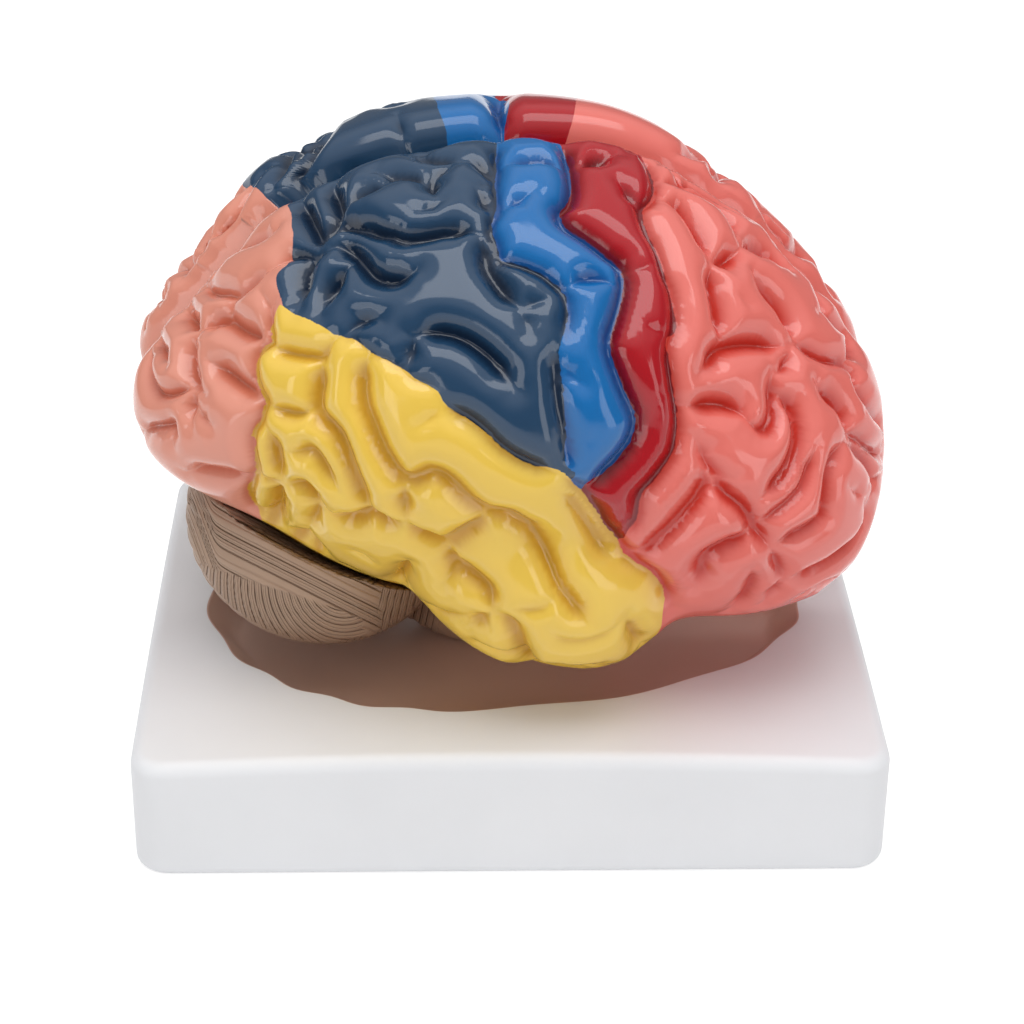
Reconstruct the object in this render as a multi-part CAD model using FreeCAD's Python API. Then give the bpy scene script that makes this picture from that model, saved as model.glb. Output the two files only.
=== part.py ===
import FreeCAD, Part
import math
import os

# Brain anatomy model on a stand, in millimetres. The frontal pole points to +X, the right half lies at -Y
# and +Z is up. The origin is the centre of the stand's underside.

Vector = FreeCAD.Vector

# Stand: a moulded block with a crowned top and rounded edges.
baseWidth = 170.5
baseDepth = 144.0
baseHeight = 33.0
crownRadius = 1500.0
baseCornerRadius = 8.0
baseTopRadius = 3.5
baseFootRadius = 2.5

# Hollow in the top of the stand, egg-shaped with a wavy rim.
hollowDepth = 10.0
hollowFrontMargin = 13.5
hollowRearMargin = 13.5
hollowSideMargin = 19.5
hollowCentreX = -14.0
hollowWallRun = 7.0
hollowWave = 0.6
hollowWaves = 16
hollowRimRadius = 1.0
hollowFrontLength = baseWidth / 2 - hollowFrontMargin - hollowCentreX
hollowRearLength = baseWidth / 2 - hollowRearMargin + hollowCentreX
hollowHalfWidth = baseDepth / 2 - hollowSideMargin
hollowFloor = baseHeight - hollowDepth

# Half of the cortex: four lobes as ellipsoids of the right side, seen as centre, half axes and pitch in
# degrees (nose down). Every ellipsoid holds the heart point, from which the surface is measured. Heights of
# the brain start at the floor of the hollow.
heart = (2.0, -36.0, hollowFloor + 65.0)
parietalLobe = ((-2.0, -5.0, hollowFloor + 77.0), (72.0, 64.0, 54.0), -3.0)
frontalLobe = ((38.0, -14.0, hollowFloor + 61.0), (48.5, 50.0, 39.0), 14.0)
temporalLobe = ((7.0, -40.5, hollowFloor + 42.5), (32.0, 28.0, 25.0), 25.0)
occipitalLobe = ((-28.0, -10.0, hollowFloor + 73.0), (57.0, 45.0, 29.0), -3.0)
lobeBlend = 14.0
leftHalfSetback = 1.2

# Where the smooth form swells beyond its lobes: the middle as (forward, up) in degrees, the height and the
# spread in degrees.
swellings = (
    ((101, 30), 3.4, 17.0),
    ((79, -36), 5.0, 14.0),
    ((-95, -9), 3.5, 9.0),
    ((40, 104), 1.8, 14.0),
    ((-42, 85), 1.8, 9.0),
)

# Medial face: a wall beside the fissure and a flat core where the two halves meet.
fissureHalfGap = 3.5
coreHalfGap = 0.15
coreCentre = (0.0, hollowFloor + 57.0)
coreHalfSize = (38.0, 17.0)
wallBlend = 10.0

# Relief of the cortex: depth of a sulcus and its reach to each side, where a main one is deeper than a plain
# one, the half width of its rounded floor and the length over which its ends run out.
deepSulcus = (5.6, 6.8)
plainSulcus = (4.2, 5.6)
sulcusFloor = 0.9
sulcusTaper = 6.0
sulcusStep = 2.0
shoulderShare = 0.7
polesPerPatch = 56

# Where the photograph was taken from, with its height over the floor of the hollow, its angles in degrees,
# and its focal length and centre in pixels. A sulcus that it shows is traced along its lines of sight.
viewPlace = (-16.2, -572.1, hollowFloor + 338.1)
viewDown = 28.16
viewTurn = 1.77
viewRoll = 0.62
viewFocal = 2700.0
viewCentre = 512.0

# Cerebellum and brainstem of one half, measured from their own heart point.
stemHeart = (-30.0, -6.0, hollowFloor + 19.0)
cerebellum = ((-44.5, -11.0, hollowFloor + 35.5), (31.5, 31.0, 28.0), 23.0)
pons = ((-4.0, -4.0, hollowFloor + 19.0), (30.0, 14.0, 13.0), 0.0)
medulla = ((-8.0, -4.0, hollowFloor + 13.0), (24.0, 9.5, 14.0), 18.0)
seatGap = 0.3
glueGap = 0.95
foliaDepth = 0.9
foliaPitch = 4.2
stemPolesPerPatch = 34

# Dowels across the flat core.
pinRadius = 2.5
pinLength = 18.0
pinChamfer = 0.6
pinClearance = 0.1
pinSpacing = 40.0
pinHeight = coreCentre[1]

# Sulci of the side that the photograph shows, each with its kind and its course in pixels.
seenSulci = {
    "central": (deepSulcus, (558, 140), (567, 165), (571, 195), (558, 218), (575, 236), (605, 258), (622, 280),
                (619, 305), (608, 345), (618, 378), (634, 415), (629, 440), (605, 468), (581, 487)),
    "precentral": (plainSulcus, (632, 138), (650, 175), (650, 203), (641, 214), (655, 250), (670, 292), (673, 328),
                   (668, 360), (676, 415), (672, 452), (650, 482), (638, 505), (622, 538)),
    "postcentral": (plainSulcus, (497, 142), (495, 175), (497, 215), (491, 235), (503, 262), (535, 272), (560, 290),
                    (567, 318), (556, 355), (556, 385), (564, 430), (574, 472)),
    "lateral": (deepSulcus, (330, 332), (356, 338), (376, 356), (405, 371), (437, 390), (470, 418), (500, 445),
                (530, 462), (558, 470), (577, 484), (603, 519), (626, 552), (650, 568), (667, 600)),
    "occipitalEdge": (plainSulcus, (280, 304), (272, 328), (274, 343), (257, 365), (268, 402), (256, 430), (258, 468),
                      (252, 484), (262, 516)),
    "superiorFrontal": (plainSulcus, (668, 186), (688, 187), (700, 182), (714, 186), (728, 197), (742, 219)),
    "frontalRidge": (plainSulcus, (655, 184), (676, 189), (718, 214), (732, 242)),
    "frontalTop1": (plainSulcus, (660, 150), (672, 158), (686, 182)),
    "frontalTop2": (plainSulcus, (700, 160), (713, 182)),
    "frontalTop3": (deepSulcus, (657, 206), (676, 214), (700, 252), (705, 266), (718, 266), (734, 254), (755, 255),
                    (780, 275)),
    "frontalRim": (deepSulcus, (771, 252), (797, 275), (806, 292), (822, 324), (842, 350), (838, 364)),
    "frontalMiddle": (deepSulcus, (745, 276), (772, 310), (787, 345)),
    "frontalPole": (plainSulcus, (787, 345), (822, 361), (847, 374), (864, 410), (879, 440)),
    "frontalTurn": (plainSulcus, (787, 348), (784, 362), (769, 377)),
    "frontalLong": (deepSulcus, (705, 266), (708, 290), (715, 346)),
    "frontalArch": (deepSulcus, (693, 373), (713, 352), (745, 345), (778, 350)),
    "frontalHook": (deepSulcus, (680, 405), (712, 404), (736, 412), (752, 430), (769, 418), (765, 373)),
    "frontalInner": (deepSulcus, (770, 391), (791, 420), (787, 462), (757, 494)),
    "frontalOuter": (plainSulcus, (811, 446), (800, 486), (772, 512), (752, 522)),
    "frontalFront": (plainSulcus, (838, 440), (824, 476), (819, 514), (800, 528), (770, 541)),
    "frontalFace": (deepSulcus, (808, 385), (828, 403), (838, 440)),
    "frontalTip": (plainSulcus, (840, 424), (858, 440), (873, 455)),
    "frontalCorner": (plainSulcus, (840, 442), (862, 462), (862, 494)),
    "frontalEdge": (plainSulcus, (857, 500), (853, 528), (832, 552), (785, 573)),
    "frontalFoot1": (plainSulcus, (795, 588), (838, 571)),
    "frontalFoot2": (plainSulcus, (778, 602), (812, 588)),
    "inferiorFrontal": (deepSulcus, (693, 438), (703, 478), (682, 512), (648, 544), (630, 548)),
    "frontalBranch": (plainSulcus, (695, 440), (712, 468), (734, 478)),
    "frontalLower": (deepSulcus, (704, 476), (718, 484), (738, 502), (752, 524), (767, 543)),
    "frontalBay": (deepSulcus, (750, 523), (724, 541), (701, 558), (694, 577)),
    "frontalUnder1": (plainSulcus, (749, 563), (744, 590), (730, 600)),
    "frontalUnder2": (plainSulcus, (767, 543), (783, 576), (762, 594)),
    "precentralFold1": (deepSulcus, (573, 170), (583, 172), (612, 165)),
    "precentralFold2": (plainSulcus, (615, 187), (638, 216)),
    "postcentralFold1": (plainSulcus, (505, 170), (538, 164), (562, 174)),
    "postcentralFold2": (plainSulcus, (504, 215), (530, 199)),
    "postcentralFold3": (plainSulcus, (566, 291), (592, 279), (616, 288)),
    "postcentralFold4": (plainSulcus, (562, 362), (578, 384)),
    "parietalTop1": (plainSulcus, (411, 157), (430, 165), (462, 168), (483, 172), (494, 190)),
    "parietalTop2": (plainSulcus, (412, 156), (440, 151)),
    "parietalTop3": (plainSulcus, (379, 179), (412, 182), (437, 180), (456, 169)),
    "parietalDrop": (deepSulcus, (434, 180), (436, 205)),
    "parietalStep1": (plainSulcus, (421, 216), (443, 206)),
    "parietalStep2": (plainSulcus, (475, 190), (487, 212), (492, 222)),
    "parietalBand": (deepSulcus, (346, 216), (368, 200), (396, 191)),
    "parietalNotch": (plainSulcus, (363, 217), (378, 232), (398, 234)),
    "intraparietal": (deepSulcus, (330, 247), (348, 229), (395, 238), (445, 236), (479, 240), (487, 270), (508, 300),
                      (520, 312)),
    "parietalFork1": (plainSulcus, (520, 312), (543, 303)),
    "parietalFork2": (plainSulcus, (520, 314), (528, 335)),
    "parietalLong": (deepSulcus, (336, 253), (356, 256), (376, 278), (406, 282), (420, 276)),
    "parietalRear1": (deepSulcus, (308, 310), (310, 280), (323, 261), (334, 256)),
    "parietalRear2": (deepSulcus, (354, 268), (338, 290), (327, 316)),
    "parietalRear3": (plainSulcus, (277, 273), (300, 257), (325, 259)),
    "parietalRear4": (plainSulcus, (298, 296), (302, 312)),
    "parietalRear5": (deepSulcus, (300, 200), (317, 230), (325, 255)),
    "parietalRear6": (deepSulcus, (335, 183), (342, 218), (328, 240), (327, 252)),
    "supramarginal": (deepSulcus, (416, 338), (447, 334), (478, 348), (504, 373), (514, 388)),
    "angular1": (plainSulcus, (408, 334), (414, 344), (410, 374)),
    "angular2": (plainSulcus, (349, 338), (368, 322), (384, 321)),
    "temporalRear": (plainSulcus, (274, 343), (300, 355), (325, 358), (340, 341)),
    "temporalRear2": (plainSulcus, (268, 402), (300, 413), (320, 411)),
    "temporalRise": (deepSulcus, (326, 358), (322, 410), (346, 442), (367, 493), (376, 507)),
    "superiorTemporal": (deepSulcus, (372, 356), (366, 390), (380, 435), (405, 476), (432, 468), (467, 494),
                         (508, 510), (534, 530), (549, 560), (568, 596), (585, 618)),
    "temporalFall1": (deepSulcus, (405, 478), (409, 514)),
    "temporalBay": (deepSulcus, (409, 514), (427, 529), (450, 537), (478, 519), (484, 505)),
    "middleTemporal": (deepSulcus, (332, 504), (357, 513), (380, 511), (409, 516)),
    "temporalFall2": (deepSulcus, (446, 537), (458, 560), (490, 584), (497, 608)),
    "temporalFold1": (plainSulcus, (290, 449), (313, 447), (330, 470), (343, 488)),
    "temporalFold2": (deepSulcus, (272, 425), (281, 458), (288, 478), (282, 488), (283, 512), (296, 526),
                      (313, 521)),
    "temporalFold3": (plainSulcus, (258, 468), (288, 478)),
    "temporalFold4": (deepSulcus, (288, 479), (309, 481), (332, 504)),
    "temporalFold5": (plainSulcus, (326, 498), (317, 513), (322, 537), (341, 559)),
    "temporalFold6": (plainSulcus, (412, 553), (402, 573), (402, 588)),
    "temporalFold7": (plainSulcus, (448, 538), (453, 568), (448, 580)),
    "temporalSole": (deepSulcus, (475, 617), (497, 608), (516, 622), (530, 651), (564, 656), (596, 667)),
    "temporalEdge": (plainSulcus, (558, 487), (588, 524), (612, 560)),
    "temporalPole": (plainSulcus, (621, 614), (639, 641)),
    "occipitalTop": (plainSulcus, (214, 286), (225, 266), (252, 248), (283, 233)),
    "occipitalCross": (plainSulcus, (201, 283), (217, 294), (242, 297), (275, 273)),
    "occipitalDrop1": (deepSulcus, (242, 298), (233, 323)),
    "occipitalDrop2": (deepSulcus, (186, 307), (207, 336)),
    "occipitalStep": (plainSulcus, (193, 315), (203, 290)),
    "occipitalWave": (deepSulcus, (207, 336), (231, 322), (273, 342)),
    "occipitalFall1": (deepSulcus, (207, 336), (197, 362), (212, 395)),
    "occipitalRear": (plainSulcus, (161, 331), (174, 367)),
    "occipitalLoop": (plainSulcus, (158, 352), (155, 378), (172, 395), (199, 388)),
    "occipitalFall2": (deepSulcus, (199, 388), (200, 423)),
    "occipitalSlope": (deepSulcus, (216, 364), (242, 382), (268, 403)),
    "occipitalFoot": (plainSulcus, (193, 466), (218, 467), (256, 471)),
    "occipitalPole": (plainSulcus, (149, 428), (177, 423), (179, 441)),
}

# Sulci of the strip of the left half that shows above the right one.
stripSulci = {
    "leftLong": (plainSulcus, (395, 122), (383, 114), (360, 123), (333, 138), (320, 157), (298, 190)),
    "leftNotch1": (deepSulcus, (404, 148), (399, 117), (412, 100), (426, 94)),
    "leftFold1": (plainSulcus, (277, 190), (287, 170), (297, 153), (320, 152)),
    "leftFold2": (plainSulcus, (222, 216), (232, 211), (258, 187)),
    "leftFold3": (plainSulcus, (154, 328), (160, 300), (172, 278), (193, 266)),
    "leftCentral": (deepSulcus, (500, 97), (497, 112), (502, 139)),
    "leftNotch2": (deepSulcus, (671, 150), (676, 162)),
    "leftFold4": (plainSulcus, (675, 158), (703, 167), (713, 181), (726, 173), (748, 195), (767, 227)),
    "leftNotch3": (deepSulcus, (768, 221), (768, 239)),
    "leftNotch4": (deepSulcus, (836, 290), (838, 306)),
}

# Sulci of the underside, as (forward, up) in degrees around the heart point. The point (0, 0) looks straight
# out to the side, (90, 0) to the frontal pole and (0, 90) to the top.
underSulci = {
    "collateral": (deepSulcus, (-96, -22), (-70, -60), (-30, -76), (20, -66)),
    "temporalUnder": (plainSulcus, (-16, -56), (24, -58)),
    "orbital": (deepSulcus, (70, -62), (100, -50), (124, -34)),
    "olfactory": (plainSulcus, (60, -84), (90, -72), (118, -56)),
    "fusiform": (plainSulcus, (-60, -84), (-20, -98), (16, -88)),
}

# Sulci of the medial face, as (x, height over the floor of the hollow) in millimetres.
medialSulci = {
    "cingulate": (deepSulcus, (52, 55), (58, 75), (44, 95), (14, 104), (-20, 100), (-32, 115)),
    "parietoOccipital": (plainSulcus, (-46, 111), (-48, 95), (-42, 79)),
    "calcarine": (plainSulcus, (-80, 69), (-62, 72), (-44, 75)),
    "callosal": (plainSulcus, (44, 49), (48, 65), (34, 80), (6, 85), (-24, 83), (-44, 67)),
    "frontalMedial": (plainSulcus, (72, 69), (68, 85), (52, 105)),
}

# Degrees upwards over which the left half leaves the right one's sulci for those of its own strip.
stripFrom = 70.0
stripTo = 88.0

pi = math.pi


def prepare(ellipsoid, start):
    """Precompute what a ray from the start point needs to meet the ellipsoid."""
    centre, axes, pitch = ellipsoid
    cosine = math.cos(math.radians(pitch))
    sine = math.sin(math.radians(pitch))
    dx, dy, dz = (start[i] - centre[i] for i in range(3))
    local = (cosine * dx - sine * dz, dy, sine * dx + cosine * dz)
    origin = tuple(local[i] / axes[i] for i in range(3))
    return cosine, sine, axes, origin, sum(v * v for v in origin) - 1.0


def reach(prepared, direction):
    """Distance along a unit direction to the far side of a prepared ellipsoid."""
    cosine, sine, axes, origin, constant = prepared
    x, y, z = direction
    dx = (cosine * x - sine * z) / axes[0]
    dy = y / axes[1]
    dz = (sine * x + cosine * z) / axes[2]
    a = dx * dx + dy * dy + dz * dz
    b = dx * origin[0] + dy * origin[1] + dz * origin[2]
    return (math.sqrt(b * b - a * constant) - b) / a


def blendOut(lengths, power):
    """Smooth union of distances."""
    return sum(v ** power for v in lengths) ** (1.0 / power)


def blendIn(lengths, power):
    """Smooth limit of a distance by others."""
    return sum(v ** -power for v in lengths) ** (-1.0 / power)


def along(start, direction, distance):
    """Point at a distance from the start."""
    return tuple(start[i] + direction[i] * distance for i in range(3))


def unit(vector):
    """Vector of length one."""
    length = math.sqrt(sum(v * v for v in vector))
    return tuple(v / length for v in vector)


def smoothStep(low, high, value):
    """0 below low, 1 above high and a smooth rise between them."""
    t = min(max((value - low) / (high - low), 0.0), 1.0)
    return t * t * (3.0 - 2.0 * t)


def outerDirection(forward, up):
    """Direction that is given in degrees around the heart point."""
    turn = math.atan2(up, forward)
    away = math.radians(math.hypot(forward, up))
    return (math.sin(away) * math.cos(turn), -math.cos(away), math.sin(away) * math.sin(turn))


lobes = [prepare(lobe, heart) for lobe in (parietalLobe, frontalLobe, temporalLobe, occipitalLobe)]
swells = [(outerDirection(*place), height, math.radians(spread) ** 2) for place, height, spread in swellings]


def wallDistance(direction):
    """Distance from the heart point to the medial face, with the flat core standing proud of it."""
    if direction[1] < 0.02:
        return 1e4
    onPlane = along(heart, direction, -heart[1] / direction[1])
    fromCore = math.hypot((onPlane[0] - coreCentre[0]) / coreHalfSize[0],
                          (onPlane[2] - coreCentre[1]) / coreHalfSize[1])
    gap = coreHalfGap + (fissureHalfGap - coreHalfGap) * smoothStep(1.0, 1.4, fromCore)
    return (-gap - heart[1]) / direction[1]


def cortexReach(direction):
    """Distance from the heart point to the smooth form of the cortex."""
    outer = blendOut([reach(lobe, direction) for lobe in lobes], lobeBlend)
    for middle, height, spread in swells:
        away = 2.0 * (1.0 - sum(direction[i] * middle[i] for i in range(3)))
        if away < 6.0 * spread:
            outer += height * (math.exp(-away / spread) - math.exp(-6.0))
    return blendIn([outer, wallDistance(direction)], wallBlend)


def ontoCortex(point):
    """The point of the smooth form on the ray through a point."""
    direction = unit(tuple(point[i] - heart[i] for i in range(3)))
    return along(heart, direction, cortexReach(direction))


def underPoint(place, depth):
    """Point of the smooth form that is given in degrees."""
    direction = outerDirection(*place)
    return along(heart, direction, cortexReach(direction))


def medialPoint(place, depth):
    """Point of the medial face that is given in millimetres."""
    return ontoCortex((place[0], -fissureHalfGap, hollowFloor + place[1]))


def lineOfSight(pixel):
    """Unit direction from the view's place through a pixel."""
    down, turn, roll = (math.radians(v) for v in (viewDown, viewTurn, viewRoll))
    forward = (math.sin(turn) * math.cos(down), math.cos(turn) * math.cos(down), -math.sin(down))
    level = (math.cos(turn), -math.sin(turn), 0.0)
    upright = (math.sin(turn) * math.sin(down), math.cos(turn) * math.sin(down), math.cos(down))
    across = (pixel[0] - viewCentre) / viewFocal
    rise = (viewCentre - pixel[1]) / viewFocal
    sideways = across * math.cos(roll) - rise * math.sin(roll)
    upwards = across * math.sin(roll) + rise * math.cos(roll)
    return unit(tuple(forward[i] + sideways * level[i] + upwards * upright[i] for i in range(3)))


def seenPoint(pixel, depth, leftHalf=False):
    """Where a line of sight first meets the form at the depth that a shoulder hides, or passes it closest."""
    start = viewPlace
    sight = lineOfSight(pixel)
    if leftHalf:
        start = (start[0] + leftHalfSetback, -start[1], start[2])
        sight = (sight[0], -sight[1], sight[2])

    def clearance(distance):
        offset = tuple(start[i] + sight[i] * distance - heart[i] for i in range(3))
        length = math.sqrt(sum(v * v for v in offset))
        return length - cortexReach(tuple(v / length for v in offset)) + depth * shoulderShare

    middle = math.dist(start, heart)
    span = parietalLobe[1][0] * 1.6
    steps = [middle + span * (i / 60.0 - 1.0) for i in range(121)]
    gaps = [clearance(s) for s in steps]
    first = next((i for i in range(1, 121) if gaps[i] < 0.0), None)
    if first is None:
        return ontoCortex(along(start, sight, steps[gaps.index(min(gaps))]))
    near, far = steps[first - 1], steps[first]
    for _ in range(10):
        half = 0.5 * (near + far)
        if clearance(half) < 0.0:
            far = half
        else:
            near = half
    return ontoCortex(along(start, sight, far))


def stripPoint(pixel, depth):
    """Point of the left half's strip, mirrored to the right half's form."""
    return seenPoint(pixel, depth, True)


def smoothLine(points):
    """A Catmull-Rom line through points of the form, in short steps that lie on it."""
    first = tuple(2.0 * points[0][i] - points[1][i] for i in range(3))
    last = tuple(2.0 * points[-1][i] - points[-2][i] for i in range(3))
    ends = [first] + points + [last]
    line = []
    for a, b, c, d in zip(ends, ends[1:], ends[2:], ends[3:]):
        count = max(int(math.dist(b, c) / sulcusStep), 1)
        for k in range(count):
            t = k / count
            line.append(ontoCortex(tuple(
                0.5 * (2.0 * b[i] + (c[i] - a[i]) * t + (2.0 * a[i] - 5.0 * b[i] + 4.0 * c[i] - d[i]) * t ** 2
                       + (3.0 * b[i] - a[i] - 3.0 * c[i] + d[i]) * t ** 3) for i in range(3))))
    return line + [points[-1]]


def tracedSulci(table, pointAt):
    """Every sulcus of a table as its kind, bounding sphere, length and segments."""
    traced = []
    for kind, *places in table.values():
        line = smoothLine([pointAt(place, kind[0]) for place in places])
        segments = []
        travelled = 0.0
        for a, b in zip(line, line[1:]):
            run = tuple(b[i] - a[i] for i in range(3))
            length = math.sqrt(sum(v * v for v in run))
            segments.append((a, run, length, travelled))
            travelled += length
        middle = tuple(sum(p[i] for p in line) / len(line) for i in range(3))
        radius = max(math.dist(middle, p) for p in line)
        traced.append((kind, middle, radius, travelled, segments))
    return traced


seenTraced = tracedSulci(seenSulci, seenPoint)
stripTraced = tracedSulci(stripSulci, stripPoint)
hiddenTraced = tracedSulci(underSulci, underPoint) + tracedSulci(medialSulci, medialPoint)


def valleyDepth(point, traced):
    """Depth at a point of the smooth form: rounded shoulders that meet in a narrow floor, joined smoothly."""
    total = 0.0
    for (depth, reach), middle, radius, whole, segments in traced:
        if math.dist(middle, point) > radius + reach:
            continue
        best = 4.0 * reach * reach
        place = 0.0
        for start, run, length, before in segments:
            fx, fy, fz = (point[i] - start[i] for i in range(3))
            t = (fx * run[0] + fy * run[1] + fz * run[2]) / (length * length)
            t = min(max(t, 0.0), 1.0)
            gx, gy, gz = fx - run[0] * t, fy - run[1] * t, fz - run[2] * t
            square = gx * gx + gy * gy + gz * gz
            if square < best:
                best = square
                place = before + t * length
        weight = 0.35 + 0.65 * smoothStep(0.0, sulcusTaper, min(place, whole - place))
        across = math.sqrt(best + sulcusFloor * sulcusFloor) - sulcusFloor
        x = max(1.0 - across / reach, 0.0)
        total += (depth * weight * (0.45 * x * x + 0.55 * (1.0 - math.sqrt(1.0 - x * x)))) ** 3
    return total ** (1.0 / 3.0)


def outwards(direction, point):
    """Normal of the smooth form at a point, from two points close to it."""
    helper = (0.0, 0.0, 1.0) if abs(direction[2]) < 0.9 else (1.0, 0.0, 0.0)
    first = unit((direction[1] * helper[2] - direction[2] * helper[1],
                  direction[2] * helper[0] - direction[0] * helper[2],
                  direction[0] * helper[1] - direction[1] * helper[0]))
    second = (direction[1] * first[2] - direction[2] * first[1],
              direction[2] * first[0] - direction[0] * first[2],
              direction[0] * first[1] - direction[1] * first[0])
    sides = []
    for side in (first, second):
        near = unit(tuple(direction[i] + 0.004 * side[i] for i in range(3)))
        reached = along(heart, near, cortexReach(near))
        sides.append(tuple(reached[i] - point[i] for i in range(3)))
    (ax, ay, az), (bx, by, bz) = sides
    return unit((ay * bz - az * by, az * bx - ax * bz, ax * by - ay * bx))


def foldedPoint(direction, leftHalf):
    """Point of the folded cortex, sunk along the normal of the smooth form. The flat core stays plain."""
    smooth = along(heart, direction, cortexReach(direction))
    depth = valleyDepth(smooth, seenTraced)
    if leftHalf:
        away = math.degrees(math.acos(min(max(-direction[1], -1.0), 1.0)))
        up = away * direction[2] / max(math.hypot(direction[0], direction[2]), 1e-9)
        depth *= 1.0 - smoothStep(stripFrom, stripTo, up)
        depth = (depth ** 3 + valleyDepth(smooth, stripTraced) ** 3) ** (1.0 / 3.0)
    depth = (depth ** 3 + valleyDepth(smooth, hiddenTraced) ** 3) ** (1.0 / 3.0)
    if smooth[1] > -4.0:
        fromCore = math.hypot((smooth[0] - coreCentre[0]) / coreHalfSize[0],
                              (smooth[2] - coreCentre[1]) / coreHalfSize[1])
        depth *= smoothStep(1.0, 1.3, fromCore)
    if depth < 1e-6:
        return smooth
    return along(smooth, outwards(direction, smooth), -depth)


def rightPoint(direction):
    """Point of the right half."""
    return foldedPoint(direction, False)


def leftPoint(direction):
    """Point of the left half before it is mirrored to its side."""
    return foldedPoint(direction, True)


def insideCortex(point):
    """True where a point lies inside the smooth cortex, grown by the glue gap."""
    offset = tuple(point[i] - heart[i] for i in range(3))
    length = math.sqrt(sum(v * v for v in offset))
    return length < cortexReach(unit(offset)) + glueGap


stemForms = [prepare(form, stemHeart) for form in (cerebellum, pons, medulla)]


def cortexCeiling(direction, limit):
    """Distance from the stem's heart point to the underside of the cortex, or the limit."""
    if insideCortex(along(stemHeart, direction, limit)):
        clear, blocked = 0.0, limit
    else:
        step = 3.0
        distance = step
        while distance < limit and not insideCortex(along(stemHeart, direction, distance)):
            distance += step
        if distance >= limit:
            return limit
        clear, blocked = distance - step, distance
    for _ in range(12):
        middle = 0.5 * (clear + blocked)
        if insideCortex(along(stemHeart, direction, middle)):
            blocked = middle
        else:
            clear = middle
    return clear


def stemPoint(direction):
    """Point of the cerebellum and brainstem of one half."""
    lengths = [max(reach(form, direction), 0.1) for form in stemForms]
    distance = blendOut(lengths, lobeBlend)
    if direction[1] > 0.02:
        distance = min(distance, (-coreHalfGap - stemHeart[1]) / direction[1])
    if direction[2] < -0.02:
        distance = min(distance, (hollowFloor + seatGap - stemHeart[2]) / direction[2])
    distance = cortexCeiling(direction, distance)
    point = along(stemHeart, direction, distance)
    onSide = smoothStep(-8.0, -12.0, point[1]) * smoothStep(-18.0, -26.0, point[0])
    slope = point[2] + 0.45 * (point[0] - stemHeart[0]) + 0.10 * point[1]
    fold = abs(math.sin(pi * slope / foliaPitch))
    return along(stemHeart, direction, distance - foliaDepth * onSide * (1.0 - fold))


def cubicKnots(poles):
    """Knots, multiplicities and the pole parameters of a clamped cubic from -1 to 1."""
    spans = poles - 3
    knots = [-1.0 + 2.0 * i / spans for i in range(spans + 1)]
    repeats = [4] + [1] * (spans - 1) + [4]
    flat = [-1.0] * 3 + knots + [1.0] * 3
    places = [(flat[i + 1] + flat[i + 2] + flat[i + 3]) / 3.0 for i in range(poles)]
    return knots, repeats, places


def patchFace(pointAt, forward, across, upward, poles):
    """One of six B-spline faces that close a surface around its heart point."""
    knots, repeats, places = cubicKnots(poles)
    net = []
    for s in places:
        a = math.tan(s * pi / 4.0)
        row = []
        for t in places:
            b = math.tan(t * pi / 4.0)
            direction = unit(tuple(forward[i] + a * across[i] + b * upward[i] for i in range(3)))
            row.append(Vector(*pointAt(direction)))
        net.append(row)
    surface = Part.BSplineSurface()
    surface.buildFromPolesMultsKnots(net, repeats, repeats, knots, knots, False, False, 3, 3)
    return surface.toShape()


def closedForm(pointAt, poles):
    """Solid inside six B-spline faces that share their edges."""
    turns = (
        ((1, 0, 0), (0, 1, 0), (0, 0, 1)),
        ((-1, 0, 0), (0, -1, 0), (0, 0, 1)),
        ((0, 1, 0), (-1, 0, 0), (0, 0, 1)),
        ((0, -1, 0), (1, 0, 0), (0, 0, 1)),
        ((0, 0, 1), (0, 1, 0), (-1, 0, 0)),
        ((0, 0, -1), (0, 1, 0), (1, 0, 0)),
    )
    skin = Part.makeCompound([patchFace(pointAt, *turn, poles) for turn in turns])
    skin.sewShape(1e-4)
    solid = Part.makeSolid(skin.Shells[0])
    if solid.Volume < 0:
        solid.reverse()
    return solid


def roundedPlan(width, depth, radius, height):
    """Block with rounded upright edges, standing on z = 0."""
    block = Part.makeBox(width, depth, height, Vector(-width / 2, -depth / 2, 0))
    upright = [e for e in block.Edges if abs(e.tangentAt(e.FirstParameter).z) > 0.99]
    return block.makeFillet(radius, upright)


def crownHeight(x, y):
    """Height of the crowned top of the stand."""
    return baseHeight - crownRadius + math.sqrt(crownRadius ** 2 - x * x - y * y)


def hollowOutline(inset, height, underCrown=False):
    """Closed wavy outline of the hollow at a height, or at a depth under the crowned top."""
    points = []
    count = 4 * hollowWaves
    for i in range(count):
        angle = 2.0 * pi * i / count
        length = hollowFrontLength if math.cos(angle) > 0 else hollowRearLength
        wave = hollowWave * math.sin(hollowWaves * angle + 1.3 * math.sin(3.0 * angle))
        x = hollowCentreX + (length - inset + wave) * math.cos(angle)
        y = (hollowHalfWidth - inset + wave) * math.sin(angle)
        points.append(Vector(x, y, crownHeight(x, y) - height if underCrown else height))
    curve = Part.BSplineCurve()
    curve.interpolate(points, PeriodicFlag=True)
    return Part.Wire([curve.toShape()])


def makeHollow():
    """What the hollow removes: flat floor, sloping wall and a rounded rim that follows the crown."""
    slant = math.atan2(hollowDepth, hollowWallRun)
    tangent = hollowRimRadius * math.tan(slant / 2.0)
    outlines = [hollowOutline(hollowWallRun, hollowFloor)]
    for share in (1.0, 0.76, 0.52, 0.28):
        turn = share * slant
        inset = hollowRimRadius * math.sin(turn) - tangent
        outlines.append(hollowOutline(inset, hollowRimRadius * (1.0 - math.cos(turn)), True))
    outlines.append(hollowOutline(-2.0 * hollowRimRadius, baseHeight + hollowRimRadius))
    return Part.makeLoft(outlines, True, True)


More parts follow.
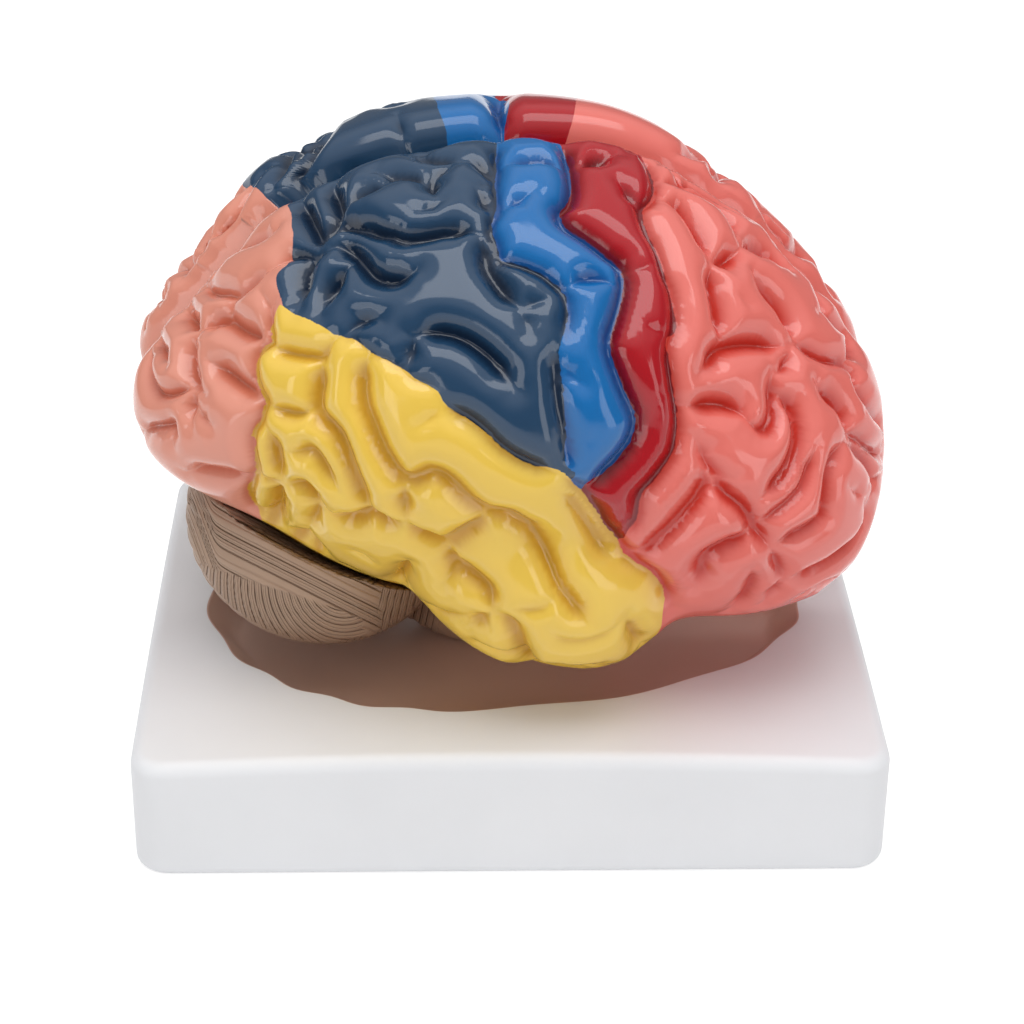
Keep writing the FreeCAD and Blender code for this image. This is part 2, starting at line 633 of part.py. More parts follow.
def makeBase():
    """Stand: crowned block with the wavy hollow."""
    block = roundedPlan(baseWidth, baseDepth, baseCornerRadius, baseHeight + 1.0)
    crown = Part.makeSphere(crownRadius, Vector(0, 0, baseHeight - crownRadius))
    block = block.common(crown)
    top = [e for e in block.Edges if e.BoundBox.ZMin > baseHeight / 2]
    block = block.makeFillet(baseTopRadius, top)
    foot = [e for e in block.Edges if e.BoundBox.ZMax < 0.01]
    block = block.makeFillet(baseFootRadius, foot)
    return block.cut(makeHollow())


def makePin(x):
    """Dowel with chamfered ends, across the medial plane."""
    start = Vector(x, -pinLength / 2, pinHeight)
    pin = Part.makeCylinder(pinRadius, pinLength, start, Vector(0, 1, 0))
    return pin.makeChamfer(pinChamfer, [e for e in pin.Edges if isinstance(e.Curve, Part.Circle)])


def socketTool(x):
    """What a dowel's socket removes from both halves."""
    length = pinLength + 2.0 * seatGap
    start = Vector(x, -length / 2, pinHeight)
    return Part.makeCylinder(pinRadius + pinClearance, length, start, Vector(0, 1, 0))


def mirrored(shape):
    """The left half's copy, set back a little."""
    copy = shape.mirror(Vector(0, 0, 0), Vector(0, 1, 0))
    copy.translate(Vector(-leftHalfSetback, 0, 0))
    return copy


def main():
    """Build every sub-part and write one STEP file each."""
    pinPlaces = {"front_pin": coreCentre[0] + pinSpacing / 2, "rear_pin": coreCentre[0] - pinSpacing / 2}
    rightHalf = closedForm(rightPoint, polesPerPatch)
    leftHalf = mirrored(closedForm(leftPoint, polesPerPatch))
    sockets = Part.makeCompound([socketTool(x) for x in pinPlaces.values()])
    rightStem = closedForm(stemPoint, stemPolesPerPatch)
    nodes = {
        "base": makeBase(),
        "right_hemisphere": rightHalf.cut(sockets),
        "left_hemisphere": leftHalf.cut(sockets),
        "right_cerebellum": rightStem,
        "left_cerebellum": mirrored(rightStem),
    }
    for name, x in pinPlaces.items():
        nodes[name] = makePin(x)
    os.makedirs("parts", exist_ok=True)
    for name, shape in nodes.items():
        box = shape.BoundBox
        print(name, shape.isValid(), len(shape.Solids), round(shape.Volume / 1000.0, 1), "cm3",
              [round(v, 1) for v in (box.XMin, box.XMax, box.YMin, box.YMax, box.ZMin, box.ZMax)])
        shape.exportStep("parts/" + name + ".step")


main()
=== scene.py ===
import math
import bmesh
import bpy
import numpy as np
from mathutils import Matrix, Vector
from mathutils.bvhtree import BVHTree


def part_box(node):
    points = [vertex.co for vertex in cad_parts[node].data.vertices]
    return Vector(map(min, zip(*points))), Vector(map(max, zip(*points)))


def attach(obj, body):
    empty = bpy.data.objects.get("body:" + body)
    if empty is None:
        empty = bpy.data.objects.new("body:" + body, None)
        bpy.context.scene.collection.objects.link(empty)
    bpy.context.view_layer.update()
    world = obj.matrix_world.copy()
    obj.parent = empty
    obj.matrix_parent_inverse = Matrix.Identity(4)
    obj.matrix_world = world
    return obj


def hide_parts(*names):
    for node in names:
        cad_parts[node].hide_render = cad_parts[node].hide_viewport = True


# Brain anatomy model on a stand. Sizes are in millimetres and become metres where a mesh is made.
# The frontal pole points to +X and the right half lies at -Y.

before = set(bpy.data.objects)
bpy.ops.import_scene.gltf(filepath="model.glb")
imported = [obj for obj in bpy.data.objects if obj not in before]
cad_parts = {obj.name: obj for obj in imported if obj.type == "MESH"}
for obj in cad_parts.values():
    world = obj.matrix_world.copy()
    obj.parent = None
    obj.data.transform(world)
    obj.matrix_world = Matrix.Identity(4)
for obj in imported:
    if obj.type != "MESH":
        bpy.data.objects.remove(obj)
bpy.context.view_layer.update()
print("stage: frame loaded,", len(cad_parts), "nodes")

mm = 0.001
pi = math.pi

camera = {
    "place": (-16.2, -572.1, 361.1),
    "down": 28.16,  # degrees below the horizon
    "turn": 1.77,   # degrees to the right
    "roll": 0.62,
    "lens": 94.92,
    "frame": 1024,  # pixels across the photograph
}


# The view of the photograph

def cameraAxes():
    down, turn, roll = (math.radians(camera[k]) for k in ("down", "turn", "roll"))
    forward = np.array((math.sin(turn) * math.cos(down), math.cos(turn) * math.cos(down), -math.sin(down)))
    level = np.array((math.cos(turn), -math.sin(turn), 0.0))
    upright = np.cross(level, forward)
    right = math.cos(roll) * level + math.sin(roll) * upright
    up = math.cos(roll) * upright - math.sin(roll) * level
    return right, up, forward


def makeCamera():
    data = bpy.data.cameras.new("photoCamera")
    data.lens = camera["lens"]
    data.sensor_width = 36.0
    data.clip_start = 0.01
    data.clip_end = 20.0
    item = bpy.data.objects.new("photoCamera", data)
    bpy.context.collection.objects.link(item)
    right, up, forward = cameraAxes()
    turn = Matrix((right, up, -forward)).transposed()
    item.matrix_world = Matrix.Translation(Vector(camera["place"]) * mm) @ turn.to_4x4()
    bpy.context.scene.camera = item


makeCamera()


def unit(vectors):
    return vectors / np.linalg.norm(vectors, axis=-1, keepdims=True)


def pixelRays(pixels):
    right, up, forward = cameraAxes()
    focal = camera["lens"] / 36.0 * camera["frame"]
    centred = (np.asarray(pixels, float) - camera["frame"] / 2) / focal
    return unit(centred[:, :1] * right - centred[:, 1:] * up + forward)


def pixelsOf(points):
    right, up, forward = cameraAxes()
    focal = camera["lens"] / 36.0 * camera["frame"]
    offset = points - np.array(camera["place"])
    away = offset @ forward
    return camera["frame"] / 2 + focal * np.stack((offset @ right / away, -(offset @ up) / away), -1)


# The smooth form of one half

cortex = {
    "heart": (2.0, -36.0, 88.0),  # inside every lobe, where all directions start
    "lobes": (
        ((-2.0, -5.0, 100.0), (72.0, 64.0, 54.0), -3.0),
        ((38.0, -14.0, 84.0), (48.5, 50.0, 39.0), 14.0),
        ((7.0, -40.5, 65.5), (32.0, 28.0, 25.0), 25.0),
        ((-28.0, -10.0, 96.0), (57.0, 45.0, 29.0), -3.0),
    ),
    "lobeBlend": 14.0,
    "wallBlend": 10.0,
    "fissureHalfGap": 3.5,
    "coreHalfGap": 0.15,
    "coreCentre": (0.0, 80.0),
    "coreHalfSize": (38.0, 17.0),
    "leftSetback": 1.2,
    "leftPaintShift": {"crimson": 22.0, "blue": 18.0, "navy": 18.5, "salmon": 20.0, "yellow": 18.0},
    "swellings": (                 # (forward, up) in degrees, height and spread in degrees
        ((101, 30), 3.4, 17.0),
        ((79, -36), 5.0, 14.0),
        ((-95, -9), 3.5, 9.0),
        ((40, 104), 1.8, 14.0),
        ((-42, 85), 1.8, 9.0),
    ),
    "leftSwellings": (             # the far casting stands fuller at its upper rear and lower in front
        ((-74, 58), 3.2, 17.0),
        ((-25, 68), 1.4, 14.0),
        ((54, 60), -3.0, 16.0),
    ),
    "spread": (84.0, 34.0, 56.0),  # ellipsoid that spaces the mesh evenly
    "outerCells": (290, 250),
    "outerAngle": 130.0,           # degrees from the side to the edge of the outer sheet
    "innerRings": 12,
}
heart = np.array(cortex["heart"])


def smoothStep(low, high, value):
    t = np.clip((value - low) / (high - low), 0.0, 1.0)
    return t * t * (3.0 - 2.0 * t)


def lobeReach(start, direction, lobe):
    centre, axes, pitch = lobe
    c, s = math.cos(math.radians(pitch)), math.sin(math.radians(pitch))
    turn = np.array(((c, 0.0, -s), (0.0, 1.0, 0.0), (s, 0.0, c)))
    d = direction @ turn.T / np.array(axes)
    o = turn @ (start - np.array(centre)) / np.array(axes)
    a = (d * d).sum(-1)
    b = d @ o
    return (np.sqrt(np.maximum(b * b - a * (o @ o - 1.0), 0.0)) - b) / a


def wallReach(direction):
    side = np.maximum(direction[..., 1], 0.02)
    onPlane = heart + direction * (-heart[1] / side)[..., None]
    (cx, cz), (hx, hz) = cortex["coreCentre"], cortex["coreHalfSize"]
    fromCore = np.hypot((onPlane[..., 0] - cx) / hx, (onPlane[..., 2] - cz) / hz)
    narrow, wide = cortex["coreHalfGap"], cortex["fissureHalfGap"]
    gap = narrow + (wide - narrow) * smoothStep(1.0, 1.4, fromCore)
    return np.where(direction[..., 1] > 0.02, (-gap - heart[1]) / side, 1e4)


def swelling(direction, place, height, spread):
    away = 2.0 * (1.0 - direction @ fromDegrees(place)) / math.radians(spread) ** 2
    return height * np.where(away < 6.0, np.exp(-away) - math.exp(-6.0), 0.0)


def cortexReach(direction, leftHalf=False):
    p, q = cortex["lobeBlend"], cortex["wallBlend"]
    outer = sum(lobeReach(heart, direction, lobe) ** p for lobe in cortex["lobes"]) ** (1.0 / p)
    outer = outer + sum(swelling(direction, *each) for each in cortex["swellings"])
    if leftHalf:
        outer = outer + sum(swelling(direction, *each) for each in cortex["leftSwellings"])
    return (outer ** -q + wallReach(direction) ** -q) ** (-1.0 / q)


def ontoCortex(points, leftHalf=False):
    direction = unit(points - heart)
    return heart + direction * cortexReach(direction, leftHalf)[..., None]


def fromDegrees(places):
    # (forward, up) in degrees: (0, 0) looks out to the side, (90, 0) to the frontal pole, (0, 90) to the top
    places = np.radians(np.asarray(places, float))
    away = np.hypot(places[..., 0], places[..., 1])
    turn = np.arctan2(places[..., 1], places[..., 0])
    return np.stack((np.sin(away) * np.cos(turn), -np.cos(away), np.sin(away) * np.sin(turn)), -1)


def toDegrees(direction):
    away = np.arccos(np.clip(-direction[..., 1], -1.0, 1.0))
    turn = np.arctan2(direction[..., 2], direction[..., 0])
    return np.degrees(np.stack((away * np.cos(turn), away * np.sin(turn)), -1))


def outwards(points, leftHalf):
    # unit normals of the form, from two small steps along it
    out = unit(points - heart)
    across = unit(np.cross(out, (0.31, 0.52, 0.79)))
    along = np.cross(out, across)
    normal = np.cross(ontoCortex(points + 0.4 * across, leftHalf) - points,
                      ontoCortex(points + 0.4 * along, leftHalf) - points)
    return unit(normal) * np.sign((normal * out).sum(-1, keepdims=True))


def mirrored(points):
    # a point of the left half as its twin on the right half, or the other way round
    return points * (1, -1, 1) - (cortex["leftSetback"], 0, 0)


def firstMeeting(pixels, leftHalf):
    # where the line of sight of each pixel first meets the half, or passes it most closely
    rays = pixelRays(pixels)
    start = np.array(camera["place"])
    if leftHalf:
        start = start * (1, -1, 1) + (cortex["leftSetback"], 0, 0)
        rays = rays * (1, -1, 1)
    middle = np.linalg.norm(start - heart)
    steps = middle + np.arange(-115.0, 115.0, 1.5)
    offset = start + rays[:, None, :] * steps[None, :, None] - heart
    length = np.linalg.norm(offset, axis=-1)
    outside = length - cortexReach(offset / length[..., None], leftHalf)
    first = np.where((outside < 0).any(1), (outside < 0).argmax(1), outside.argmin(1))
    near, far = steps[np.maximum(first - 1, 0)], steps[first]
    for _ in range(10):
        half = 0.5 * (near + far)
        offset = start + rays * half[:, None] - heart
        length = np.linalg.norm(offset, axis=-1)
        hit = length < cortexReach(offset / length[:, None], leftHalf)
        far = np.where(hit, half, far)
        near = np.where(hit, near, half)
    return ontoCortex(start + rays * far[:, None], leftHalf)


def pixelsOntoCortex(pixels, leftHalf=False, depth=0.0):
    # points of the form that show at the pixels once they lie that much deeper
    aim = np.array(pixels, float)
    for _ in range(6):
        points = firstMeeting(aim, leftHalf)
        sunk = points - outwards(points, leftHalf) * depth
        shown = pixelsOf(mirrored(sunk) if leftHalf else sunk)
        aim += np.clip(0.8 * (pixels - shown), -9.0, 9.0)
    return firstMeeting(aim, leftHalf)


# The sulci

relief = {
    "notch": (7.5, 7.0),    # one that cuts the outline
    "deep": (5.4, 6.6),     # depth and reach to each side of a main sulcus
    "plain": (3.9, 5.3),
    "shallow": (1.7, 3.6),
    "hidden": 0.75,         # share of the depth at which the line of a valley shows in the photograph
    "floor": 0.5,           # half width of the rounded bottom
    "softenings": (1, 2),   # rounds of smoothing over whole valleys and over their bottoms
    "gather": 2.8,          # distance over which the mesh is drawn to the line of a valley
    "taper": 6.0,           # length over which an end runs out
    "step": 1.2,            # spacing of the points along a sulcus
    "join": 3.0,            # power that joins sulci that meet
}

# Valleys of the near half as pixels of the photograph.
seenSulci = {
    "central": ("deep", (558, 140), (563, 152), (567, 165), (570, 180), (571, 195), (567, 208), (559, 214),
                (558, 218),
                (563, 228), (575, 236), (590, 246), (605, 258), (618, 268), (622, 280), (622, 290),
                (619, 305),
                (614, 322), (608, 340), (608, 350), (612, 362), (618, 378), (626, 398), (634, 415),
                (634, 425),
                (629, 440), (618, 455), (605, 468), (590, 482), (581, 487)),
    "precentral": ("plain", (632, 138), (643, 160), (650, 175), (654, 190), (650, 203), (640, 212),
                   (645, 232),
                   (655, 250), (663, 275), (670, 292), (673, 310), (673, 328), (668, 348), (668, 365),
                   (672, 390),
                   (676, 415), (676, 430), (672, 452), (663, 466), (650, 482), (640, 492), (639, 505),
                   (637, 516),
                   (630, 528), (622, 538)),
    "postcentralTop": ("plain", (497, 142), (496, 158), (495, 165), (497, 175), (495, 190), (497, 205),
                       (497, 215),
                       (492, 224), (491, 235), (496, 244), (499, 255), (503, 262), (520, 266), (535, 272),
                       (545, 277),
                       (553, 285), (560, 290), (564, 297), (567, 305), (567, 318), (564, 330), (560, 345)),
    "postcentralLow": ("plain", (560, 345), (555, 365), (556, 385), (559, 405), (564, 430), (568, 452),
                       (574, 472)),
    "lateralRear": ("shallow", (330, 332), (340, 336), (350, 339), (356, 338), (362, 345), (371, 351),
                    (376, 356),
                    (385, 358), (395, 364), (405, 371), (413, 379), (425, 383), (437, 390), (442, 399)),
    "lateralMiddle": ("plain", (442, 399), (455, 410), (470, 418), (485, 430), (500, 445), (515, 455),
                      (530, 462),
                      (545, 467), (558, 470)),
    "lateralFront": ("plain", (558, 470), (567, 477), (577, 484), (588, 497), (597, 508), (603, 519),
                     (612, 530),
                     (620, 540), (626, 552), (640, 563), (650, 568), (658, 576), (664, 587), (667, 600)),
    "salmonEdge": ("plain", (280, 304), (275, 315), (272, 328), (274, 343), (268, 346), (260, 353),
                   (257, 365),
                   (258, 380), (262, 392), (268, 402), (265, 410), (262, 420), (256, 430), (254, 440),
                   (256, 456),
                   (258, 468), (252, 484), (256, 500), (262, 516)),
    # frontal lobe
    "frontal1": ("plain", (660, 150), (672, 158), (682, 168), (686, 182)),
    "frontal2": ("plain", (700, 160), (710, 172), (713, 182)),
    "frontal3": ("plain", (668, 186), (688, 187), (700, 182), (714, 186), (728, 197), (738, 209),
                 (742, 219)),
    "frontal4": ("plain", (655, 184), (676, 189), (700, 201), (718, 214), (729, 228), (732, 242)),
    "frontal5": ("shallow", (663, 204), (680, 211), (700, 216)),
    "frontal6": ("deep", (657, 206), (676, 214), (690, 232), (700, 252), (705, 266)),
    "frontal7": ("deep", (703, 266), (718, 266), (734, 254)),
    "frontal9": ("deep", (734, 252), (755, 255), (768, 264), (780, 275)),
    "frontal10": ("deep", (771, 252), (785, 262), (797, 275), (806, 292), (815, 313), (822, 324), (838, 340),
                  (842, 350), (838, 364)),
    "frontal13": ("shallow", (816, 314), (828, 308), (838, 303)),
    "frontal14": ("deep", (745, 276), (758, 294), (772, 310), (782, 328), (787, 345)),
    "frontalPit": ("shallow", (738, 297), (747, 306)),
    "frontal15": ("plain", (787, 345), (803, 352), (822, 361), (838, 364), (847, 374), (851, 389),
                  (860, 402),
                  (864, 410), (873, 424), (879, 440)),
    "frontal16": ("shallow", (785, 336), (800, 344), (815, 352), (826, 360)),
    "frontal17": ("plain", (787, 348), (784, 362), (776, 374), (769, 377)),
    "frontal18": ("deep", (705, 266), (708, 290), (713, 315), (715, 346)),
    "frontal19": ("deep", (693, 373), (703, 365), (713, 352), (728, 347), (745, 345), (760, 346),
                  (778, 350)),
    "frontal20": ("deep", (680, 405), (695, 405), (712, 404), (725, 406), (736, 412), (744, 424)),
    "frontal21": ("deep", (744, 424), (752, 430), (762, 430), (769, 418), (769, 400), (766, 385),
                  (765, 373)),
    "frontal22": ("deep", (770, 391), (784, 404), (791, 420), (793, 440), (787, 462), (775, 480),
                  (757, 494)),
    "frontal23": ("shallow", (790, 413), (808, 418)),
    "frontal24": ("plain", (811, 446), (806, 470), (800, 486), (788, 500), (772, 512), (762, 519),
                  (752, 522)),
    "frontal25": ("plain", (838, 440), (830, 456), (824, 476), (821, 500), (819, 514), (812, 521),
                  (800, 528),
                  (785, 535), (770, 541)),
    "frontal26": ("deep", (808, 385), (815, 394), (828, 403), (836, 415), (839, 430), (838, 440)),
    "frontal27": ("shallow", (822, 393), (835, 402), (845, 413)),
    "frontal28": ("plain", (840, 424), (846, 434), (858, 440), (866, 448), (873, 455)),
    "frontal29": ("plain", (840, 442), (852, 450), (862, 462), (866, 480), (862, 494)),
    "frontal30": ("shallow", (862, 494), (855, 492), (846, 486)),
    "frontal31": ("shallow", (866, 481), (872, 480), (878, 472)),
    "frontal32": ("plain", (857, 500), (858, 515), (853, 528), (846, 540), (832, 552), (815, 563),
                  (800, 569),
                  (785, 573)),
    "frontal33": ("plain", (795, 588), (812, 580), (828, 575), (838, 571)),
    "frontal34": ("plain", (778, 602), (795, 595), (812, 588)),
    "frontal35": ("shallow", (822, 590), (835, 578)),
    "frontal36": ("shallow", (843, 352), (855, 350)),
    "frontal37": ("shallow", (862, 410), (870, 404)),
    "frontal38": ("deep", (701, 462), (703, 478), (697, 494), (682, 512), (662, 532), (648, 544),
                  (630, 548)),
    "frontal39": ("deep", (693, 438), (700, 450), (704, 464)),
    "frontal40": ("plain", (695, 440), (703, 457), (712, 468), (724, 476), (734, 478)),
    "frontal41": ("deep", (704, 476), (712, 476), (718, 484), (727, 495), (738, 502), (748, 516), (752, 524),
                  (760, 534), (767, 543)),
    "frontal42": ("deep", (750, 523), (742, 532), (724, 541), (708, 549), (701, 558), (700, 568),
                  (694, 577)),
    "frontal43": ("plain", (749, 563), (751, 575), (744, 590), (730, 600)),
    "frontal44": ("plain", (767, 543), (773, 556), (779, 570), (783, 576)),
    "frontal45": ("plain", (779, 572), (772, 584), (762, 594)),
    # precentral and postcentral gyri
    "crimson1": ("deep", (573, 170), (583, 172), (597, 168), (612, 165)),
    "crimson2": ("plain", (615, 187), (625, 196), (633, 208), (638, 216)),
    "crimson3": ("shallow", (622, 268), (632, 270), (645, 267), (655, 264)),
    "crimson4": ("shallow", (630, 405), (640, 412), (651, 408)),
    "crimson5": ("shallow", (661, 392), (668, 399)),
    "crimson6": ("shallow", (648, 328), (658, 333), (669, 329)),
    "blue1": ("plain", (505, 170), (520, 167), (538, 164), (552, 168), (562, 174)),
    "blue2": ("plain", (504, 215), (512, 208), (520, 204), (530, 199)),
    "blue3": ("plain", (566, 291), (578, 282), (592, 279), (606, 283), (616, 288)),
    "blue4": ("shallow", (598, 345), (608, 347)),
    "blue5": ("shallow", (566, 430), (575, 437), (586, 440)),
    "blue6": ("plain", (562, 362), (568, 374), (578, 384)),
    "blue7": ("shallow", (570, 292), (573, 310), (571, 325), (565, 342), (561, 355)),
    # parietal lobe
    "parietal1": ("plain", (411, 157), (415, 163), (430, 165), (450, 166), (462, 168)),
    "parietal2": ("plain", (412, 156), (418, 153), (440, 151)),
    "parietal3": ("plain", (462, 168), (472, 167), (483, 172), (490, 180), (494, 190)),
    "parietal4": ("plain", (430, 186), (437, 180), (446, 174), (456, 169)),
    "parietal5": ("deep", (434, 180), (433, 195), (436, 205)),
    "parietal6": ("plain", (421, 216), (432, 212), (443, 206)),
    "parietal7": ("plain", (478, 183), (483, 190), (488, 195)),
    "parietal8": ("plain", (475, 190), (482, 202), (487, 212), (492, 222)),
    "parietal9": ("plain", (379, 179), (395, 181), (412, 182), (425, 186), (432, 188)),
    "parietal10": ("deep", (346, 216), (356, 207), (368, 200), (382, 195), (396, 191)),
    "parietal11": ("plain", (363, 217), (370, 226), (378, 232), (388, 236), (398, 234)),
    "parietal12": ("deep", (330, 247), (338, 238), (348, 229), (365, 231), (380, 235), (395, 238),
                   (405, 242),
                   (425, 240), (445, 236), (470, 236), (479, 240)),
    "parietal13": ("deep", (479, 240), (484, 255), (487, 270), (496, 284), (508, 300), (520, 312)),
    "parietal14": ("plain", (520, 312), (530, 306), (543, 303)),
    "parietal15": ("plain", (520, 314), (527, 325), (528, 335)),
    "parietal16": ("deep", (336, 253), (346, 251), (356, 256), (366, 267), (376, 278), (390, 283),
                   (406, 282),
                   (420, 276)),
    "parietal17": ("deep", (308, 310), (309, 295), (310, 280), (314, 268), (323, 261), (334, 256)),
    "parietal18": ("deep", (354, 268), (346, 279), (338, 290), (332, 302), (327, 316)),
    "parietal19": ("shallow", (330, 288), (340, 293)),
    "parietal20": ("plain", (277, 273), (289, 262), (300, 257), (313, 258), (325, 259)),
    "parietal21": ("shallow", (281, 286), (284, 293), (282, 302)),
    "parietal22": ("plain", (298, 296), (300, 305), (302, 312)),
    "parietal23": ("deep", (300, 200), (306, 208), (311, 218), (317, 230), (322, 242), (325, 255)),
    "parietal24": ("deep", (335, 183), (338, 195), (341, 208), (342, 218), (336, 228), (328, 240),
                   (327, 252)),
    "parietal25": ("deep", (416, 338), (430, 334), (447, 334), (463, 339), (478, 348), (492, 360),
                   (504, 373),
                   (514, 388)),
    "parietal26": ("plain", (408, 334), (414, 344), (412, 358), (410, 374)),
    "parietal27": ("plain", (358, 318), (370, 321), (384, 319)),
    "parietal28": ("plain", (349, 338), (357, 328), (368, 322), (384, 323)),
    # temporal lobe
    "temporal1": ("plain", (274, 343), (284, 351), (300, 355), (316, 357), (325, 358), (331, 350),
                  (340, 341)),
    "temporal2": ("plain", (268, 402), (282, 409), (300, 413), (320, 411)),
    "temporal3": ("deep", (326, 358), (326, 372), (322, 392), (322, 410), (330, 420), (340, 430), (346, 442),
                  (352, 458), (360, 478), (367, 493), (376, 507)),
    "temporal4": ("deep", (372, 356), (367, 372), (366, 390), (368, 405), (374, 420), (380, 435), (388, 452),
                  (396, 464), (405, 476), (415, 476), (425, 472), (432, 468), (447, 474), (458, 484),
                  (467, 494),
                  (475, 500), (483, 505), (495, 508), (508, 510), (520, 517), (529, 522), (534, 530),
                  (540, 540),
                  (545, 550), (549, 560), (554, 572), (559, 584), (568, 596), (576, 606), (585, 618)),
    "temporal5": ("deep", (405, 478), (407, 492), (407, 506), (409, 514)),
    "temporal6": ("deep", (409, 514), (416, 523), (427, 529), (436, 533), (448, 537), (452, 536), (465, 527),
                  (478, 519), (485, 511), (484, 505)),
    "temporal7": ("deep", (332, 504), (340, 509), (348, 512), (357, 513), (365, 512), (373, 508), (380, 511),
                  (388, 515), (397, 517), (409, 516)),
    "temporal8": ("deep", (446, 537), (453, 550), (458, 560), (466, 564), (474, 570), (482, 577), (490, 584),
                  (493, 590), (494, 600), (497, 608)),
    "temporal9": ("plain", (290, 449), (303, 450), (313, 447), (322, 457), (330, 470), (337, 479),
                  (343, 488)),
    "temporal10": ("deep", (272, 425), (278, 440), (281, 458), (285, 472), (288, 478)),
    "temporal11": ("plain", (258, 468), (268, 476), (278, 479), (288, 478)),
    "temporal12": ("deep", (288, 478), (282, 488), (281, 502), (283, 512), (288, 522), (296, 526),
                   (304, 524),
                   (313, 521)),
    "temporal13": ("deep", (288, 479), (300, 479), (309, 481), (316, 488), (321, 495), (326, 498),
                   (332, 504)),
    "temporal14": ("plain", (313, 521), (317, 513), (319, 507), (322, 501), (326, 498)),
    "temporal15": ("plain", (313, 522), (316, 530), (322, 537), (329, 546), (335, 553), (341, 559)),
    "temporal16": ("shallow", (357, 548), (365, 552), (372, 557)),
    "temporal17": ("plain", (412, 553), (406, 565), (402, 573), (402, 588)),
    "temporal18": ("plain", (448, 538), (449, 547), (451, 557), (453, 568), (448, 580)),
    "temporal19": ("deep", (497, 608), (486, 612), (475, 617)),
    "temporal20": ("shallow", (475, 615), (460, 614), (442, 610), (425, 603)),
    "temporal21": ("deep", (497, 608), (506, 611), (512, 616), (516, 622), (520, 632), (524, 642),
                   (530, 651),
                   (540, 654), (552, 653), (564, 656), (572, 662), (584, 666), (596, 667)),
    "temporal22": ("shallow", (556, 594), (551, 602), (541, 609), (527, 610), (513, 610), (503, 609)),
    "temporal23": ("shallow", (443, 402), (438, 412), (430, 420), (419, 427)),
    "temporal24": ("shallow", (440, 420), (452, 417), (466, 424), (482, 434), (498, 444)),
    "temporal25": ("plain", (558, 487), (572, 500), (588, 524), (600, 544), (612, 560)),
    "temporal26": ("plain", (621, 614), (626, 622), (632, 632), (639, 641)),
    "temporal27": ("shallow", (548, 628), (560, 638), (576, 641), (592, 639), (608, 632), (619, 622)),
    # occipital lobe
    "occipital1": ("plain", (214, 286), (216, 277), (225, 266), (238, 256), (252, 248), (262, 243),
                   (274, 239),
                   (283, 233)),
    "occipital2": ("shallow", (219, 273), (223, 262), (231, 252), (243, 247)),
    "occipital3": ("plain", (201, 283), (210, 290), (217, 294), (228, 295), (242, 297), (252, 289),
                   (263, 281),
                   (275, 273)),
    "occipital4": ("deep", (242, 298), (237, 308), (235, 318), (233, 323)),
    "occipital5": ("deep", (186, 307), (192, 315), (198, 325), (207, 336)),
    "occipital6": ("plain", (193, 315), (194, 306), (198, 297), (203, 290)),
    "occipital7": ("deep", (207, 336), (213, 330), (222, 325), (231, 322), (237, 325), (248, 332),
                   (260, 337),
                   (273, 342)),
    "occipital8": ("shallow", (262, 292), (268, 305), (269, 320), (265, 333)),
    "occipital9": ("deep", (207, 336), (200, 345), (197, 356), (197, 368), (199, 378), (203, 388),
                   (212, 395)),
    "occipital10": ("plain", (161, 331), (163, 342), (168, 355), (174, 367)),
    "occipital11": ("plain", (158, 352), (155, 365), (155, 378), (158, 388), (163, 394), (172, 395),
                    (185, 391),
                    (199, 388)),
    "occipital12": ("deep", (199, 388), (199, 400), (198, 412), (200, 423)),
    "occipital13": ("plain", (202, 404), (204, 412), (209, 419), (217, 424)),
    "occipital14": ("deep", (216, 364), (228, 371), (242, 382), (254, 391), (268, 403)),
    "occipital15": ("plain", (193, 466), (205, 465), (218, 467), (232, 469), (244, 471), (256, 471)),
    "occipital16": ("shallow", (222, 474), (235, 476)),
    "occipital17": ("plain", (149, 428), (157, 426), (168, 425), (177, 423), (179, 430), (179, 441)),
}

# Valleys of the strip of the far half, as pixels of the photograph.
stripSulci = {
    "leftLong": ("deep", (397, 119), (383, 115), (360, 123), (333, 138), (320, 157), (298, 190)),
    "leftNotch1": ("deep", (398, 118), (404, 108), (412, 100), (426, 94)),
    "leftFold5": ("shallow", (398, 118), (402, 132), (404, 148)),
    "leftFold1": ("plain", (277, 190), (287, 170), (297, 153), (320, 152)),
    "leftFold2": ("plain", (222, 216), (232, 211), (258, 187)),
    "leftFold3": ("plain", (154, 328), (160, 300), (172, 278), (193, 266)),
    "leftCentral": ("deep", (500, 97), (497, 112), (502, 139)),
    "leftNotch2": ("notch", (671, 150), (676, 162)),
    "leftFold4": ("plain", (675, 158), (703, 167), (713, 181), (726, 173), (748, 195), (767, 227)),
    "leftNotch3": ("notch", (768, 221), (768, 239)),
    "leftNotch4": ("notch", (836, 290), (838, 306)),
}

# Valleys that the photograph doesn't show: the underside in degrees round the heart and the medial face in
# millimetres along and up.
hiddenSulci = {
    "under1": ("deep", (-96, -22), (-70, -60), (-30, -76), (20, -66)),
    "under2": ("plain", (-16, -56), (24, -58)),
    "under3": ("deep", (70, -62), (100, -50), (124, -34)),
    "under4": ("plain", (60, -84), (90, -72), (118, -56)),
    "under5": ("plain", (-60, -84), (-20, -98), (16, -88)),
}
medialSulci = {
    "cingulate": ("deep", (52, 78), (58, 98), (44, 118), (14, 127), (-20, 123), (-32, 138)),
    "parietoOccipital": ("plain", (-46, 134), (-48, 118), (-42, 102)),
    "calcarine": ("plain", (-80, 92), (-62, 95), (-44, 98)),
    "callosal": ("plain", (44, 72), (48, 88), (34, 103), (6, 108), (-24, 106), (-44, 90)),
    "frontalMedial": ("plain", (72, 92), (68, 108), (52, 128)),
}


